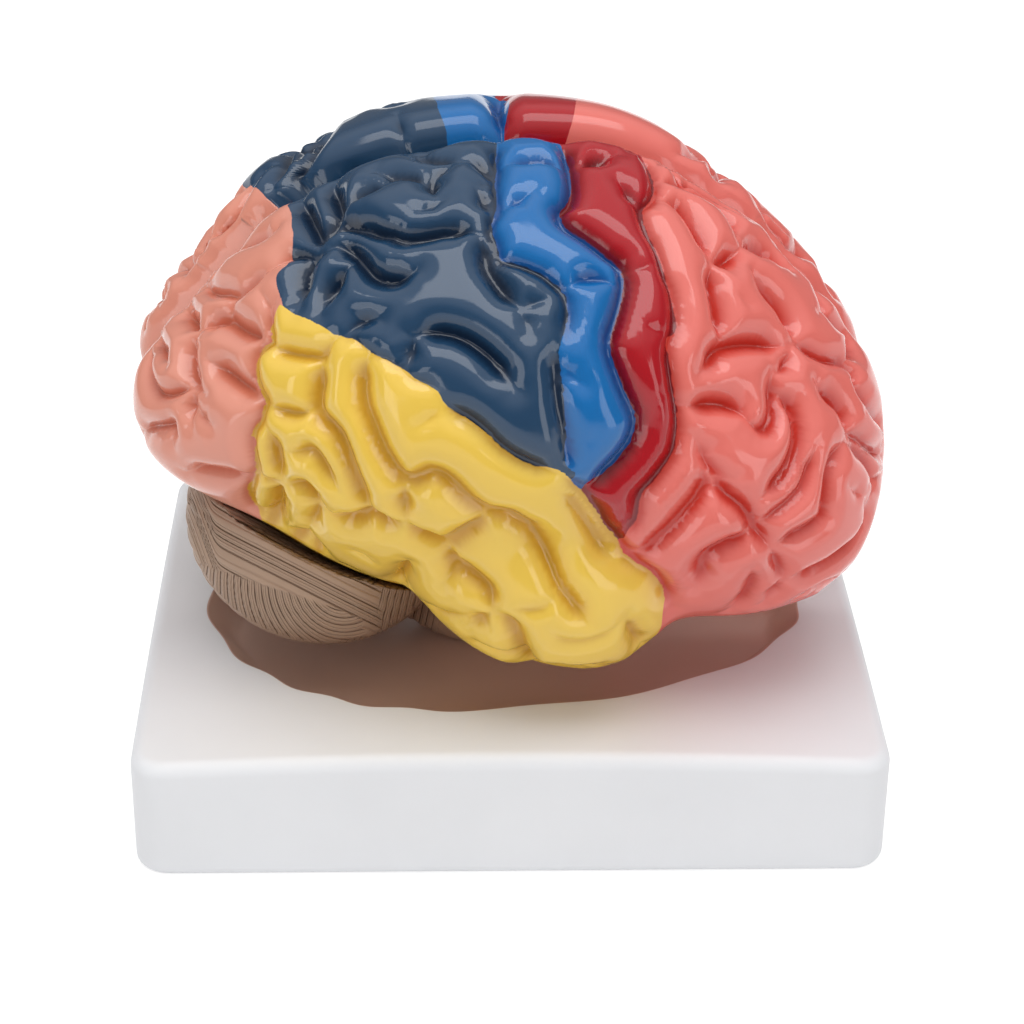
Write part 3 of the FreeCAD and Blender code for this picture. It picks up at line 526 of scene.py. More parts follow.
def smoothLine(points, step, leftHalf):
    # a Catmull-Rom line through the points, read at even steps and laid on the form
    ends = np.vstack((2 * points[0] - points[1], points, 2 * points[-1] - points[-2]))
    pieces = []
    for a, b, c, d in zip(ends, ends[1:], ends[2:], ends[3:]):
        count = max(int(np.linalg.norm(c - b) / step), 1)
        t = (np.arange(count) / count)[:, None]
        pieces.append(0.5 * (2 * b + (c - a) * t + (2 * a - 5 * b + 4 * c - d) * t ** 2
                             + (3 * b - a - 3 * c + d) * t ** 3))
    pieces.append(points[-1:])
    return ontoCortex(np.vstack(pieces), leftHalf)


def sulcusLines(table, layOut, leftHalf=False):
    lines = []
    for kind, *places in table.values():
        depth, reach = relief[kind]
        laid = layOut(np.array(places, float), depth * relief["hidden"])
        lines.append((smoothLine(laid, relief["step"], leftHalf), depth, reach))
    return lines


def seenOntoCortex(pixels, inset):
    return pixelsOntoCortex(pixels, False, inset)


def degreesOntoCortex(places, inset):
    direction = fromDegrees(places)
    return heart + direction * cortexReach(direction)[:, None]


def medialOntoCortex(places, inset):
    wall = np.full(len(places), -cortex["fissureHalfGap"])
    return ontoCortex(np.stack((places[:, 0], wall, places[:, 1]), -1))


def stripOntoCortex(pixels, inset):
    return pixelsOntoCortex(pixels, True, inset)


def grooveDepth(points, lines):
    # rounded shoulders that meet in a narrow valley along each line, and how near its bottom each point is,
    # which sets the painted shade of the enamel
    total, bottom = np.zeros(len(points)), np.zeros(len(points))
    for line, depth, reach in lines:
        near = ((points > line.min(0) - reach) & (points < line.max(0) + reach)).all(1)
        picked = np.flatnonzero(near)
        start, run = line[:-1], line[1:] - line[:-1]
        square = (run * run).sum(1)
        travelled = np.concatenate(((0.0,), np.cumsum(np.sqrt(square))))
        for part in np.array_split(picked, len(picked) * len(run) // 2000000 + 1):
            offset = points[part][:, None, :] - start[None]
            t = np.clip((offset * run).sum(2) / square, 0.0, 1.0)
            gap = offset - t[..., None] * run
            distance = np.sqrt((gap * gap).sum(2))
            nearest = distance.argmin(1)
            row = np.arange(len(part))
            place = travelled[nearest] + t[row, nearest] * np.sqrt(square[nearest])
            toEnd = np.minimum(place, travelled[-1] - place)
            weight = 0.35 + 0.65 * smoothStep(0.0, relief["taper"], toEnd)
            soft = np.hypot(distance[row, nearest], relief["floor"]) - relief["floor"]
            x = np.clip(1.0 - soft / reach, 0.0, 1.0)
            profile = 0.3 * x * x + 0.7 * (1.0 - np.sqrt(1.0 - x * x))
            total[part] += (depth * weight * profile) ** relief["join"]
            share = math.sqrt(depth / relief["deep"][0]) * weight * profile
            bottom[part] = np.maximum(bottom[part], share)
    return total ** (1.0 / relief["join"]), bottom


def gatheredAtLines(points, lines, leftHalf=False):
    # draws the mesh to the nearest valley, so that its bottom falls on an edge and not across the cells
    nearest = np.full(len(points), relief["gather"])
    foot = points.copy()
    for line, depth, reach in lines:
        close = ((points > line.min(0) - relief["gather"]) & (points < line.max(0) + relief["gather"])).all(1)
        start, run = line[:-1], line[1:] - line[:-1]
        for part in np.array_split(np.flatnonzero(close), close.sum() * len(run) // 2000000 + 1):
            offset = points[part][:, None, :] - start[None]
            t = np.clip((offset * run).sum(2) / (run * run).sum(1), 0.0, 1.0)
            distance = np.linalg.norm(offset - t[..., None] * run, axis=2)
            best = distance.argmin(1)
            row = np.arange(len(part))
            nearer = distance[row, best] < nearest[part]
            nearest[part] = np.where(nearer, distance[row, best], nearest[part])
            onLine = start[best] + t[row, best][:, None] * run[best]
            foot[part] = np.where(nearer[:, None], onLine, foot[part])
    share = (nearest / relief["gather"]) ** 0.55
    return ontoCortex(foot + (points - foot) * share[:, None], leftHalf)


seenLines = sulcusLines(seenSulci, seenOntoCortex)
hiddenLines = sulcusLines(hiddenSulci, degreesOntoCortex) + sulcusLines(medialSulci, medialOntoCortex)
stripLines = sulcusLines(stripSulci, stripOntoCortex, True)
print("stage: sulci laid on the form,", len(seenLines) + len(hiddenLines) + len(stripLines))


# The painted fields, each an edge that its colour lies behind, in the order of painting

paintEdges = {
    "crimson": {
        "pixels": ((637, 146), (643, 160), (650, 175), (654, 190), (650, 203), (640, 212), (645, 232),
                   (655, 250),
                   (663, 275), (668, 290), (670, 300), (672, 312), (676, 325), (673, 333), (665, 342),
                   (667, 355),
                   (669, 368), (672, 390), (676, 415), (676, 430), (672, 452), (663, 466), (650, 482),
                   (640, 492),
                   (639, 505), (637, 516), (630, 528), (622, 538)),
        "degrees": ((20, -20), (-30, -150), (-178, -10), (-120, 130), (40, 170), (46, 112)),
    },
    "blue": {
        "pixels": seenSulci["central"][2:],
        "degrees": ((10, -20), (-40, -150), (-178, -10), (-120, 130), (10, 170), (14, 118)),
    },
    "navy": {
        "pixels": ((497, 142), (496, 158), (495, 165), (497, 175), (495, 190), (497, 205), (497, 215),
                   (492, 224),
                   (491, 235), (496, 244), (499, 255), (500, 262), (510, 263), (520, 266), (535, 272),
                   (545, 277),
                   (553, 285), (560, 290), (564, 297), (567, 305), (567, 318), (564, 330), (560, 345),
                   (558, 355),
                   (559, 362), (561, 380), (563, 400), (563, 415), (565, 430), (565, 450), (566, 464),
                   (577, 474)),
        "degrees": ((0, -20), (-50, -150), (-178, -10), (-120, 130), (-20, 170), (-14, 118)),
    },
    "salmon": {
        "pixels": ((290, 196), (287, 205), (292, 214), (291, 225), (294, 236), (292, 250), (291, 262),
                   (277, 273),
                   (275, 280), (279, 290), (281, 300), (284, 310), (286, 330), (286, 360), (286, 400),
                   (282, 430),
                   (280, 460), (280, 490), (284, 515), (290, 535)),
        "degrees": ((-70, -44), (-60, -80), (-60, -150), (-178, -10), (-130, 90), (-84, 92)),
    },
    "yellow": {
        "pixels": ((280, 304), (290, 311), (301, 317), (310, 320), (324, 327), (330, 332), (340, 336),
                   (350, 339),
                   (356, 338), (362, 345), (371, 351), (376, 356), (385, 358), (395, 364), (405, 371),
                   (410, 373),
                   (413, 379), (425, 383), (437, 390), (442, 397), (441, 401), (455, 410), (470, 418),
                   (485, 430),
                   (500, 445), (515, 455), (530, 462), (545, 467), (558, 470), (567, 477), (577, 484),
                   (581, 488),
                   (588, 497), (597, 508), (603, 519), (612, 530), (620, 538), (619, 543), (626, 553),
                   (640, 563),
                   (650, 568), (658, 576), (664, 587), (665, 597)),
        "degrees": ((48, -44), (44, -70), (30, -110), (-10, -130), (-50, -120), (-80, -90), (-96, -50),
                    (-93, -28)),
        "rearPixels": ((263, 522), (259, 510), (248, 488), (256, 475), (258, 465), (255, 452), (257, 440),
                       (250, 436), (256, 427), (262, 420), (265, 410), (268, 402), (262, 392), (258, 380),
                       (257, 365), (260, 353), (268, 346), (274, 343), (272, 328), (275, 315)),
    },
}


def paintOutlines(mesh, places):
    # where the pixels of each edge meet the folded near half, as degrees round the heart
    corners = np.array([p.vertices for p in mesh.polygons])
    folded = readCoords(mesh)
    tree = BVHTree.FromPolygons(folded.tolist(), corners.tolist())
    eye = Vector(camera["place"]) * mm
    outlines = {}
    for name, edge in paintEdges.items():
        parts = []
        for key in ("pixels", "degrees", "rearPixels"):
            if key == "degrees":
                parts.append(np.array(edge["degrees"], float))
                continue
            if key not in edge:
                continue
            met = []
            for ray in pixelRays(denser(np.array(edge[key], float), 2.0)):
                place, normal, face, away = tree.ray_cast(eye, Vector(ray))
                if face is not None:
                    share = np.linalg.lstsq(folded[corners[face]].T, np.array(place), rcond=None)[0]
                    met.append(share / share.sum() @ places[corners[face]])
            met = np.array(met)
            for _ in range(6):
                met[1:-1] = 0.5 * met[1:-1] + 0.25 * (met[:-2] + met[2:])
            parts.append(met)
        outlines[name] = np.vstack(parts)
    return outlines


def denser(course, step):
    run = np.linalg.norm(np.diff(course, axis=0), axis=1)
    along = np.concatenate(((0.0,), np.cumsum(run)))
    every = np.linspace(0.0, along[-1], int(along[-1] / step) + 2)
    return np.stack((np.interp(every, along, course[:, 0]), np.interp(every, along, course[:, 1])), -1)


def insideBy(places, outline):
    # distance in degrees to a closed outline, positive inside it
    start = outline
    run = np.roll(outline, -1, axis=0) - outline
    square = np.maximum((run * run).sum(1), 1e-9)
    out = np.empty(len(places))
    for part in np.array_split(np.arange(len(places)), len(places) * len(run) // 1500000 + 1):
        offset = places[part][:, None, :] - start[None]
        t = np.clip((offset * run).sum(2) / square, 0.0, 1.0)
        gap = offset - t[..., None] * run
        distance = np.sqrt((gap * gap).sum(2).min(1))
        x, y = places[part][:, None, 0], places[part][:, None, 1]
        x0, y0 = start[None, :, 0], start[None, :, 1]
        x1, y1 = x0 + run[None, :, 0], y0 + run[None, :, 1]
        crosses = ((y0 > y) != (y1 > y)) & (x < x0 + (y - y0) * (x1 - x0) / np.where(y1 == y0, 1e-9, y1 - y0))
        out[part] = np.where(crosses.sum(1) % 2 == 1, distance, -distance)
    return out


# Form of the cerebellum and brainstem

stem = {
    "heart": (-30.0, -6.0, 42.0),
    "forms": (
        ((-44.5, -11.0, 58.5), (31.5, 31.0, 28.0), 23.0),
        ((-4.0, -4.0, 42.0), (30.0, 14.0, 13.0), 0.0),
        ((-8.0, -4.0, 36.0), (24.0, 9.5, 14.0), 18.0),
    ),
    "floor": 23.3,
    "glueGap": 0.95,
    "cells": 100,
    "spread": (46.0, 24.0, 26.0),
    "foldDepth": 0.5,
    "foliaCorner": (172.0, 476.0), # pixel of the upper left corner, where the long folia bunch up
    "foliaSlopes": (27.0, 70.0),   # degrees, of the long folia and of the bunch along the left outline
    "foliaSpan": 95.0,             # pixels over which the long folia lie
    "bunching": 3.4,
    "foliaPitch": 11.0,            # pixels
    "arcCentre": (345.0, 585.0),   # pixel round which the lower folia curve
    "arcPitch": 7.0,               # pixels
    "arcEdge": (240.0, 578.0),     # pixel where the lower folia begin
    "arcFall": 0.34,
    "frontEdge": (381.0, 589.0),   # pixel where the upright folia begin
    "levelCentre": (-30.0, 50.0),  # forward and up, the line round which the level folia turn
    "levelPitch": 5.5,             # degrees
}


def nearStem(points):
    # share of the relief that is left where the cerebellum lies against the lobes
    centre, axes, pitch = stem["forms"][0]
    c, s = math.cos(math.radians(pitch)), math.sin(math.radians(pitch))
    turned = (points - np.array(centre)) @ np.array(((c, 0.0, -s), (0.0, 1.0, 0.0), (s, 0.0, c))).T
    return smoothStep(-1.0, 4.0, (np.linalg.norm(turned / np.array(axes), axis=1) - 1.0) * axes[0])


# Meshes of the two halves

def discOfSquare(s, t):
    return s * np.sqrt(1 - t * t / 2), t * np.sqrt(1 - s * s / 2)


def halfSphereMesh(name):
    # a fine sheet over the outer side and rings over the medial side, on the unit sphere
    bm = bmesh.new()
    cells = cortex["outerCells"]
    bmesh.ops.create_grid(bm, x_segments=cells[0], y_segments=cells[1], size=1.0)
    widest = math.radians(cortex["outerAngle"])
    for v in bm.verts:
        a, b = discOfSquare(v.co.x, v.co.y)
        away = widest * math.hypot(a, b)
        turn = math.atan2(b, a)
        v.co = (math.sin(away) * math.cos(turn), -math.cos(away), math.sin(away) * math.sin(turn))
    rings = cortex["innerRings"]
    loop = [e for e in bm.edges if e.is_boundary]
    for i in range(rings):
        made = bmesh.ops.extrude_edge_only(bm, edges=loop)["geom"]
        away = widest + (pi - widest) * (i + 1) / (rings + 0.5)
        for v in (g for g in made if isinstance(g, bmesh.types.BMVert)):
            turn = math.atan2(v.co.z, v.co.x)
            v.co = (math.sin(away) * math.cos(turn), -math.cos(away), math.sin(away) * math.sin(turn))
        loop = [g for g in made if isinstance(g, bmesh.types.BMEdge) and g.is_boundary]
    bmesh.ops.holes_fill(bm, edges=loop, sides=0)
    bmesh.ops.recalc_face_normals(bm, faces=bm.faces)
    mesh = bpy.data.meshes.new(name)
    bm.to_mesh(mesh)
    bm.free()
    return mesh


def readCoords(mesh, what="co"):
    values = np.empty(len(mesh.vertices) * 3)
    mesh.vertices.foreach_get(what, values)
    return values.reshape(-1, 3)


def writeCoords(mesh, points):
    mesh.vertices.foreach_set("co", (points * mm).ravel())
    mesh.update()


def addAttribute(mesh, name, values):
    mesh.attributes.new(name, "FLOAT", "POINT").data.foreach_set("value", values.astype(np.float32))


def keepInBox(points, node):
    low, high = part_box(node)
    return np.clip(points, np.array(low) / mm, np.array(high) / mm)


def linkPiece(name, mesh, node, materials):
    for material in materials:
        mesh.materials.append(material)
    for polygon in mesh.polygons:
        polygon.use_smooth = True
    item = bpy.data.objects.new(name, mesh)
    bpy.context.collection.objects.link(item)
    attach(item, "root")
    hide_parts(node)
    return item


def cutAlongValleys(mesh, depth):
    # splits each cell along its deeper diagonal, so that no edge bridges a valley
    bm = bmesh.new()
    bm.from_mesh(mesh)
    for face in list(bm.faces):
        if len(face.verts) == 4:
            a, b, c, d = face.verts
            if depth[a.index] + depth[c.index] > depth[b.index] + depth[d.index]:
                bmesh.utils.face_split(face, a, c)
            else:
                bmesh.utils.face_split(face, b, d)
    bmesh.ops.triangulate(bm, faces=[face for face in bm.faces if len(face.verts) > 4])
    bm.to_mesh(mesh)
    bm.free()
    return mesh


def softenValleys(mesh, depth):
    # thick paint rounds the walls and bottoms of the valleys
    bm = bmesh.new()
    bm.from_mesh(mesh)
    bm.verts.ensure_lookup_table()
    everyWay = {"use_axis_x": True, "use_axis_y": True, "use_axis_z": True}
    for least, rounds in zip((0.4, 2.2), relief["softenings"]):
        picked = [bm.verts[i] for i in np.flatnonzero(depth > least)]
        for _ in range(rounds):
            bmesh.ops.smooth_vert(bm, verts=picked, factor=0.5, **everyWay)
    bm.to_mesh(mesh)
    bm.free()


def makeHalf(name, node, leftHalf, outlines, material):
    mesh = halfSphereMesh(name)
    direction = unit(readCoords(mesh) * np.array(cortex["spread"]))
    smooth = heart + direction * cortexReach(direction)[:, None]
    # the far half's top is drawn to its own valleys only
    drawn = 1.0 - smoothStep(50.0, 64.0, toDegrees(direction)[:, 1]) * leftHalf
    smooth = ontoCortex(smooth + (gatheredAtLines(smooth, seenLines) - smooth) * drawn[:, None])
    places = toDegrees(unit(smooth - heart))
    depth, bottom = grooveDepth(smooth, seenLines)
    if leftHalf:
        ownSide = 1.0 - smoothStep(70.0, 88.0, places[:, 1])
        depth, bottom = depth * ownSide, bottom * ownSide
    parts = [(depth, bottom), grooveDepth(smooth, hiddenLines)]
    if leftHalf:
        smooth = gatheredAtLines(ontoCortex(smooth, True), stripLines, True)
        places = toDegrees(unit(smooth - heart))
        parts.append(grooveDepth(smooth, stripLines))
    depth = sum(part[0] ** 3 for part in parts) ** (1 / 3)
    bottom = np.max([part[1] for part in parts], axis=0)
    (cx, cz), (hx, hz) = cortex["coreCentre"], cortex["coreHalfSize"]
    fromCore = np.hypot((smooth[:, 0] - cx) / hx, (smooth[:, 2] - cz) / hz)
    depth *= 1.0 - (smooth[:, 1] > -4.0) * (1.0 - smoothStep(1.0, 1.3, fromCore))
    depth *= nearStem(smooth)
    mesh = cutAlongValleys(mesh, depth)
    writeCoords(mesh, smooth)
    folded = smooth - readCoords(mesh, "normal") * depth[:, None]
    if not outlines:
        writeCoords(mesh, folded)
        outlines.update(paintOutlines(mesh, places))
    for field, outline in outlines.items():
        # the far half's fields lie some degrees further back along its top
        shift = cortex["leftPaintShift"][field] * smoothStep(15.0, 90.0, places[:, 1]) * leftHalf
        addAttribute(mesh, field, insideBy(places + shift[:, None] * (1.0, 0.0), outline))
    # painted shade: nearness to the valley bottoms, which the enamel reads to darken its colour there
    addAttribute(mesh, "valleyShade", bottom)
    if leftHalf:
        folded = mirrored(folded)
        mesh.flip_normals()
    writeCoords(mesh, keepInBox(folded, node))
    softenValleys(mesh, depth)
    return linkPiece(name, mesh, node, [material])


# Materials

def linearColour(code):
    parts = [int(code[i:i + 2], 16) / 255.0 for i in (1, 3, 5)]
    return tuple(v / 12.92 if v <= 0.04045 else ((v + 0.055) / 1.055) ** 2.4 for v in parts) + (1.0,)


def addNode(tree, kind, settings=None, **inputs):
    # a node with its properties and inputs, where an input is a value or another node's output
    node = tree.nodes.new(kind)
    for key, value in (settings or {}).items():
        setattr(node, key, value)
    for key, value in inputs.items():
        numbered = key[0] == "i" and key[1:].isdigit()
        socket = node.inputs[int(key[1:]) if numbered else key.replace("_", " ")]
        if isinstance(value, bpy.types.NodeSocket):
            tree.links.new(value, socket)
        else:
            socket.default_value = value
    return node


def newMaterial(name):
    material = bpy.data.materials.new(name)
    material.use_nodes = True
    tree = material.node_tree
    tree.nodes.clear()
    output = tree.nodes.new("ShaderNodeOutputMaterial")
    return material, tree, output.inputs["Surface"]


# Gloss enamel, brushed by hand on a cast: each field has a crown colour and a darker valley colour, and the
# valley colour is painted shade towards the bottoms of the valleys. The light boxes show as pale patches with
# crisp edges.
enamel = {
    # each field: its paint colour, then a darker copy of it that is painted shade in the valleys
    "coral": ("#E5746A", "#CA3A2E"),
    "crimson": ("#AC111D", "#7A0812"),
    "blue": ("#126AAE", "#0E4A8C"),
    "navy": ("#22415F", "#10233A"),
    "salmon": ("#E1947F", "#CE765D"),
    "yellow": ("#EFC752", "#D2A034"),
    "roughness": 0.12,
    "edgeWaver": 0.22,      # degrees
    "brushMark": 9.0,       # mm between brush marks
    "brushHeight": 0.00012,
}


def makeEnamel():
    material, tree, surface = newMaterial("brushedGlossEnamel")
    place = addNode(tree, "ShaderNodeTexCoord").outputs["Object"]
    waver = addNode(tree, "ShaderNodeTexNoise", Vector=place, Scale=450.0, Detail=2.0)
    waver = addNode(tree, "ShaderNodeMath", {"operation": "MULTIPLY_ADD"}, i0=waver.outputs["Fac"],
                    i1=2 * enamel["edgeWaver"], i2=-enamel["edgeWaver"]).outputs[0]
    crown = linearColour(enamel["coral"][0])
    valley = linearColour(enamel["coral"][1])
    for field in paintEdges:
        inside = addNode(tree, "ShaderNodeAttribute", {"attribute_name": field}).outputs["Fac"]
        wavy = addNode(tree, "ShaderNodeMath", {"operation": "ADD"}, i0=inside, i1=waver).outputs[0]
        share = addNode(tree, "ShaderNodeMapRange", {"interpolation_type": "SMOOTHSTEP"}, Value=wavy,
                        From_Min=-0.12, From_Max=0.12).outputs[0]
        crown = addNode(tree, "ShaderNodeMix", {"data_type": "RGBA"}, Factor=share, i6=crown,
                        i7=linearColour(enamel[field][0])).outputs[2]
        valley = addNode(tree, "ShaderNodeMix", {"data_type": "RGBA"}, Factor=share, i6=valley,
                         i7=linearColour(enamel[field][1])).outputs[2]
    # painted shade: near the valley bottoms the crown colour turns to the darker valley colour
    valleyShade = addNode(tree, "ShaderNodeAttribute", {"attribute_name": "valleyShade"}).outputs["Fac"]
    shadeShare = addNode(tree, "ShaderNodeMapRange", {"interpolation_type": "SMOOTHSTEP"}, Value=valleyShade,
                     From_Min=0.2, From_Max=0.85).outputs[0]
    mixed = addNode(tree, "ShaderNodeMix", {"data_type": "RGBA"}, Factor=shadeShare, i6=crown, i7=valley)
    marks = addNode(tree, "ShaderNodeTexNoise", Vector=place, Scale=1.0 / (enamel["brushMark"] * mm),
                    Detail=1.5, Roughness=0.4)
    bump = addNode(tree, "ShaderNodeBump", Height=marks.outputs["Fac"], Distance=enamel["brushHeight"],
                   Strength=1.0)
    shader = addNode(tree, "ShaderNodeBsdfPrincipled", Base_Color=mixed.outputs[2],
                     Roughness=enamel["roughness"], IOR=1.5, Normal=bump.outputs["Normal"])
    tree.links.new(shader.outputs[0], surface)
    return material


enamelMaterial = makeEnamel()
fieldOutlines = {}
makeHalf("rightCortex", "right_hemisphere", False, fieldOutlines, enamelMaterial)
print("stage: right half folded and painted")
makeHalf("leftCortex", "left_hemisphere", True, fieldOutlines, enamelMaterial)
print("stage: left half folded and painted")


# Cerebellum and brainstem

def stemReach(start, direction):
    lengths = sum(np.maximum(lobeReach(start, direction, f), 0.1) ** 14 for f in stem["forms"]) ** (1 / 14)
    side, fall = direction[:, 1], direction[:, 2]
    wall = np.where(side > 0.02, (-cortex["coreHalfGap"] - start[1]) / np.maximum(side, 0.02), 1e4)
    foot = np.where(fall < -0.02, (stem["floor"] - start[2]) / np.minimum(fall, -0.02), 1e4)
    limit = np.minimum(np.minimum(lengths, wall), foot)

    def blocked(distance):
        offset = start + direction * distance[:, None] - heart
        length = np.linalg.norm(offset, axis=1)
        return length < cortexReach(offset / length[:, None]) + stem["glueGap"]

    clear = np.zeros(len(limit))
    for share in np.linspace(0.05, 1.0, 20):
        free = ~blocked(limit * share) & (clear >= limit * (share - 0.051))
        clear = np.where(free, limit * share, clear)
    high = np.minimum(clear + limit * 0.05, limit)
    for _ in range(10):
        half = 0.5 * (clear + high)
        hit = blocked(half)
        high = np.where(hit, half, high)
        clear = np.where(hit, clear, half)
    return clear


def ripple(points, scale, seed):
    # slow wavering from a few sines, the same each run
    turn = np.random.default_rng(seed).uniform(0, 2 * pi, (5, 3))
    axes = np.random.default_rng(seed + 1).normal(size=(5, 3))
    return sum(np.sin(points @ a / scale + t[0]) for a, t in zip(axes, turn)) / 5.0


def foliaPhase(points, normals):
    # a value that grows by one from folium to folium, and the share of each set: a fan of long folia, curved
    # ones below, upright ones in front, and level ones on the side turned away
    across, down = (pixelsOf(points) + 1.0 * ripple(points, 9.0, 3)[:, None]).T
    flat, steep = np.radians(stem["foliaSlopes"])
    dx, dy = across - stem["foliaCorner"][0], down - stem["foliaCorner"][1]
    long = dy * math.cos(flat) - dx * math.sin(flat)
    bunch = stem["foliaSpan"] - stem["bunching"] * (dx * math.sin(steep) - dy * math.cos(steep))
    fan = 0.5 * (long + bunch + np.hypot(long - bunch, 9.0)) / stem["foliaPitch"]
    fan = fan + 0.3 * np.sin(2.1 * fan) + 0.3 * ripple(points, 14.0, 8)
    arcs = np.hypot(across - stem["arcCentre"][0], down - stem["arcCentre"][1]) / stem["arcPitch"]
    upright = (across + 0.25 * down) / stem["arcPitch"]
    edge = stem["arcEdge"][1] + stem["arcFall"] * (across - stem["arcEdge"][0])
    below = smoothStep(-1.5, 1.5, down - edge) * smoothStep(366.0, 362.0, across)
    frontX, frontY = stem["frontEdge"]
    front = smoothStep(-2.0, 2.0, across - frontX) * smoothStep(-2.0, 2.0, down - frontY)
    x, y, z = points.T
    (cx, cz), pitch = stem["levelCentre"], stem["levelPitch"]
    level = np.degrees(np.arctan2(z - cz, cx - x)) / pitch + 0.3 * ripple(points, 14.0, 5)
    facing = (normals * unit(np.array(camera["place"]) - points)).sum(-1)
    onSide = smoothStep(-6.0, -10.0, y) * smoothStep(0.1, 0.2, facing)
    onRear = smoothStep(-14.0, -22.0, x)
    shares = (onSide * onRear * (1.0 - below) * (1.0 - front), onSide * onRear * below * (1.0 - front),
              onSide * onRear * front, (1.0 - onSide) * onRear)
    return (fan, arcs, upright, level), shares


foliaSets = ("fan", "arcs", "upright", "level")


def makeStem(title, node, leftHalf, material):
    bm = bmesh.new()
    bmesh.ops.create_cube(bm, size=2.0)
    bmesh.ops.subdivide_edges(bm, edges=bm.edges, cuts=stem["cells"], use_grid_fill=True)
    mesh = bpy.data.meshes.new(title)
    bm.to_mesh(mesh)
    bm.free()
    start = np.array(stem["heart"])
    direction = unit(np.tan(readCoords(mesh) * pi / 4) * np.array(stem["spread"]))
    points = start + direction * stemReach(start, direction)[:, None]
    writeCoords(mesh, points)
    normals = readCoords(mesh, "normal")
    phases, shares = foliaPhase(points, normals)
    for name, phase, share in zip(foliaSets, phases, shares):
        addAttribute(mesh, name, phase)
        addAttribute(mesh, name + "Share", share)
    rounded = sum(share * (0.5 + 0.5 * np.cos(2 * pi * phase)) for phase, share in zip(phases, shares))
    points = points - normals * (stem["foldDepth"] * rounded)[:, None]
    if leftHalf:
        points = mirrored(points)
        mesh.flip_normals()
    writeCoords(mesh, keepInBox(points, node))
    return linkPiece(title, mesh, node, [material])


# Matt emulsion on the cast folia: grey-brown ridges with a random mottle, and between them darker lines that
# are painted shade in the grooves, also cut in as bumps.
matt = {"ridge": "#AB8E78", "grooveShade": "#8A6B55", "roughness": 0.5, "lineWidth": 0.34, "lineDepth": 0.0004}


def makeMatt():
    material, tree, surface = newMaterial("mattPaintedCast")
    place = addNode(tree, "ShaderNodeTexCoord").outputs["Object"]

    def maths(operation, first, second=0.0, third=0.0):
        node = addNode(tree, "ShaderNodeMath", {"operation": operation}, i0=first, i1=second, i2=third)
        return node.outputs[0]

    cut = 0.0
    for name in foliaSets:
        phase = addNode(tree, "ShaderNodeAttribute", {"attribute_name": name}).outputs["Fac"]
        share = addNode(tree, "ShaderNodeAttribute", {"attribute_name": name + "Share"})
        share = share.outputs["Fac"]
        for pitch, strength in ((1.0, 1.0), (3.0, 0.4)):
            wave = maths("ABSOLUTE", maths("SINE", maths("MULTIPLY", phase, pi * pitch)))
            line = addNode(tree, "ShaderNodeMapRange", {"interpolation_type": "SMOOTHSTEP"}, Value=wave,
                           From_Max=matt["lineWidth"] * (1.0 if pitch == 1.0 else 1.6), To_Min=strength,
                           To_Max=0.0).outputs[0]
            cut = maths("MULTIPLY_ADD", line, share, cut)
    grain = addNode(tree, "ShaderNodeTexNoise", Vector=place, Scale=260.0, Detail=4.0, Roughness=0.6)
    # painted shade: the folia lines turn the colour to the darker groove colour, together with the random
    # grain
    mottleAndShade = maths("MULTIPLY_ADD", grain.outputs["Fac"], 0.4, cut)
    share = addNode(tree, "ShaderNodeMapRange", {"interpolation_type": "SMOOTHSTEP"}, Value=mottleAndShade,
                    From_Min=0.15, From_Max=1.2).outputs[0]
    mixed = addNode(tree, "ShaderNodeMix", {"data_type": "RGBA"}, Factor=share,
                    i6=linearColour(matt["ridge"]), i7=linearColour(matt["grooveShade"]))
    height = maths("MULTIPLY_ADD", grain.outputs["Fac"], 0.25, maths("MULTIPLY", cut, -1.0))
    bump = addNode(tree, "ShaderNodeBump", Height=height, Distance=matt["lineDepth"], Strength=1.0)
    shader = addNode(tree, "ShaderNodeBsdfPrincipled", Base_Color=mixed.outputs[2],
                     Roughness=matt["roughness"], IOR=1.45, Normal=bump.outputs["Normal"])
    tree.links.new(shader.outputs[0], surface)
    return material


mattMaterial = makeMatt()
makeStem("rightCerebellum", "right_cerebellum", False, mattMaterial)
makeStem("leftCerebellum", "left_cerebellum", True, mattMaterial)
print("stage: cerebellum cut with folia")


# Stand

stand = {
    "width": 170.5,
    "depth": 144.0,
    "height": 33.0,
    "crownRadius": 1500.0,
    "cornerRadius": 8.0,
    "topRadius": 3.5,
    "footRadius": 2.5,
    "hollowDepth": 10.0,
    "frontLength": 85.75,
    "rearLength": 57.75,
    "halfWidth": 52.5,
    "centreX": -14.0,
    "wallRun": 7.0,
    "wave": 0.6,
    "waves": 16,
    "rimRadius": 1.0,
    "segments": 720,
}


def crownHeight(x, y):
    r = stand["crownRadius"]
    return stand["height"] - r + np.sqrt(r * r - x * x - y * y)


def hollowRing(angles, inset):
    length = np.where(np.cos(angles) > 0, stand["frontLength"], stand["rearLength"])
    wave = stand["wave"] * np.sin(stand["waves"] * angles + 1.3 * np.sin(3.0 * angles))
    x = stand["centreX"] + (length - inset + wave) * np.cos(angles)
    y = (stand["halfWidth"] - inset + wave) * np.sin(angles)
    return x, y


def edgeRing(angles, inset):
    # rounded rectangle of the stand, met by a ray at each angle
    dx, dy = np.cos(angles), np.sin(angles)
    radius = max(stand["cornerRadius"] - inset, 0.5)
    hx = stand["width"] / 2 - inset - radius
    hy = stand["depth"] / 2 - inset - radius
    low, high = np.zeros(len(angles)), np.full(len(angles), 200.0)
    for _ in range(40):
        half = 0.5 * (low + high)
        qx, qy = np.abs(dx * half) - hx, np.abs(dy * half) - hy
        outside = np.hypot(np.maximum(qx, 0), np.maximum(qy, 0)) + np.minimum(np.maximum(qx, qy), 0) > radius
        high = np.where(outside, half, high)
        low = np.where(outside, low, half)
    return dx * low, dy * low


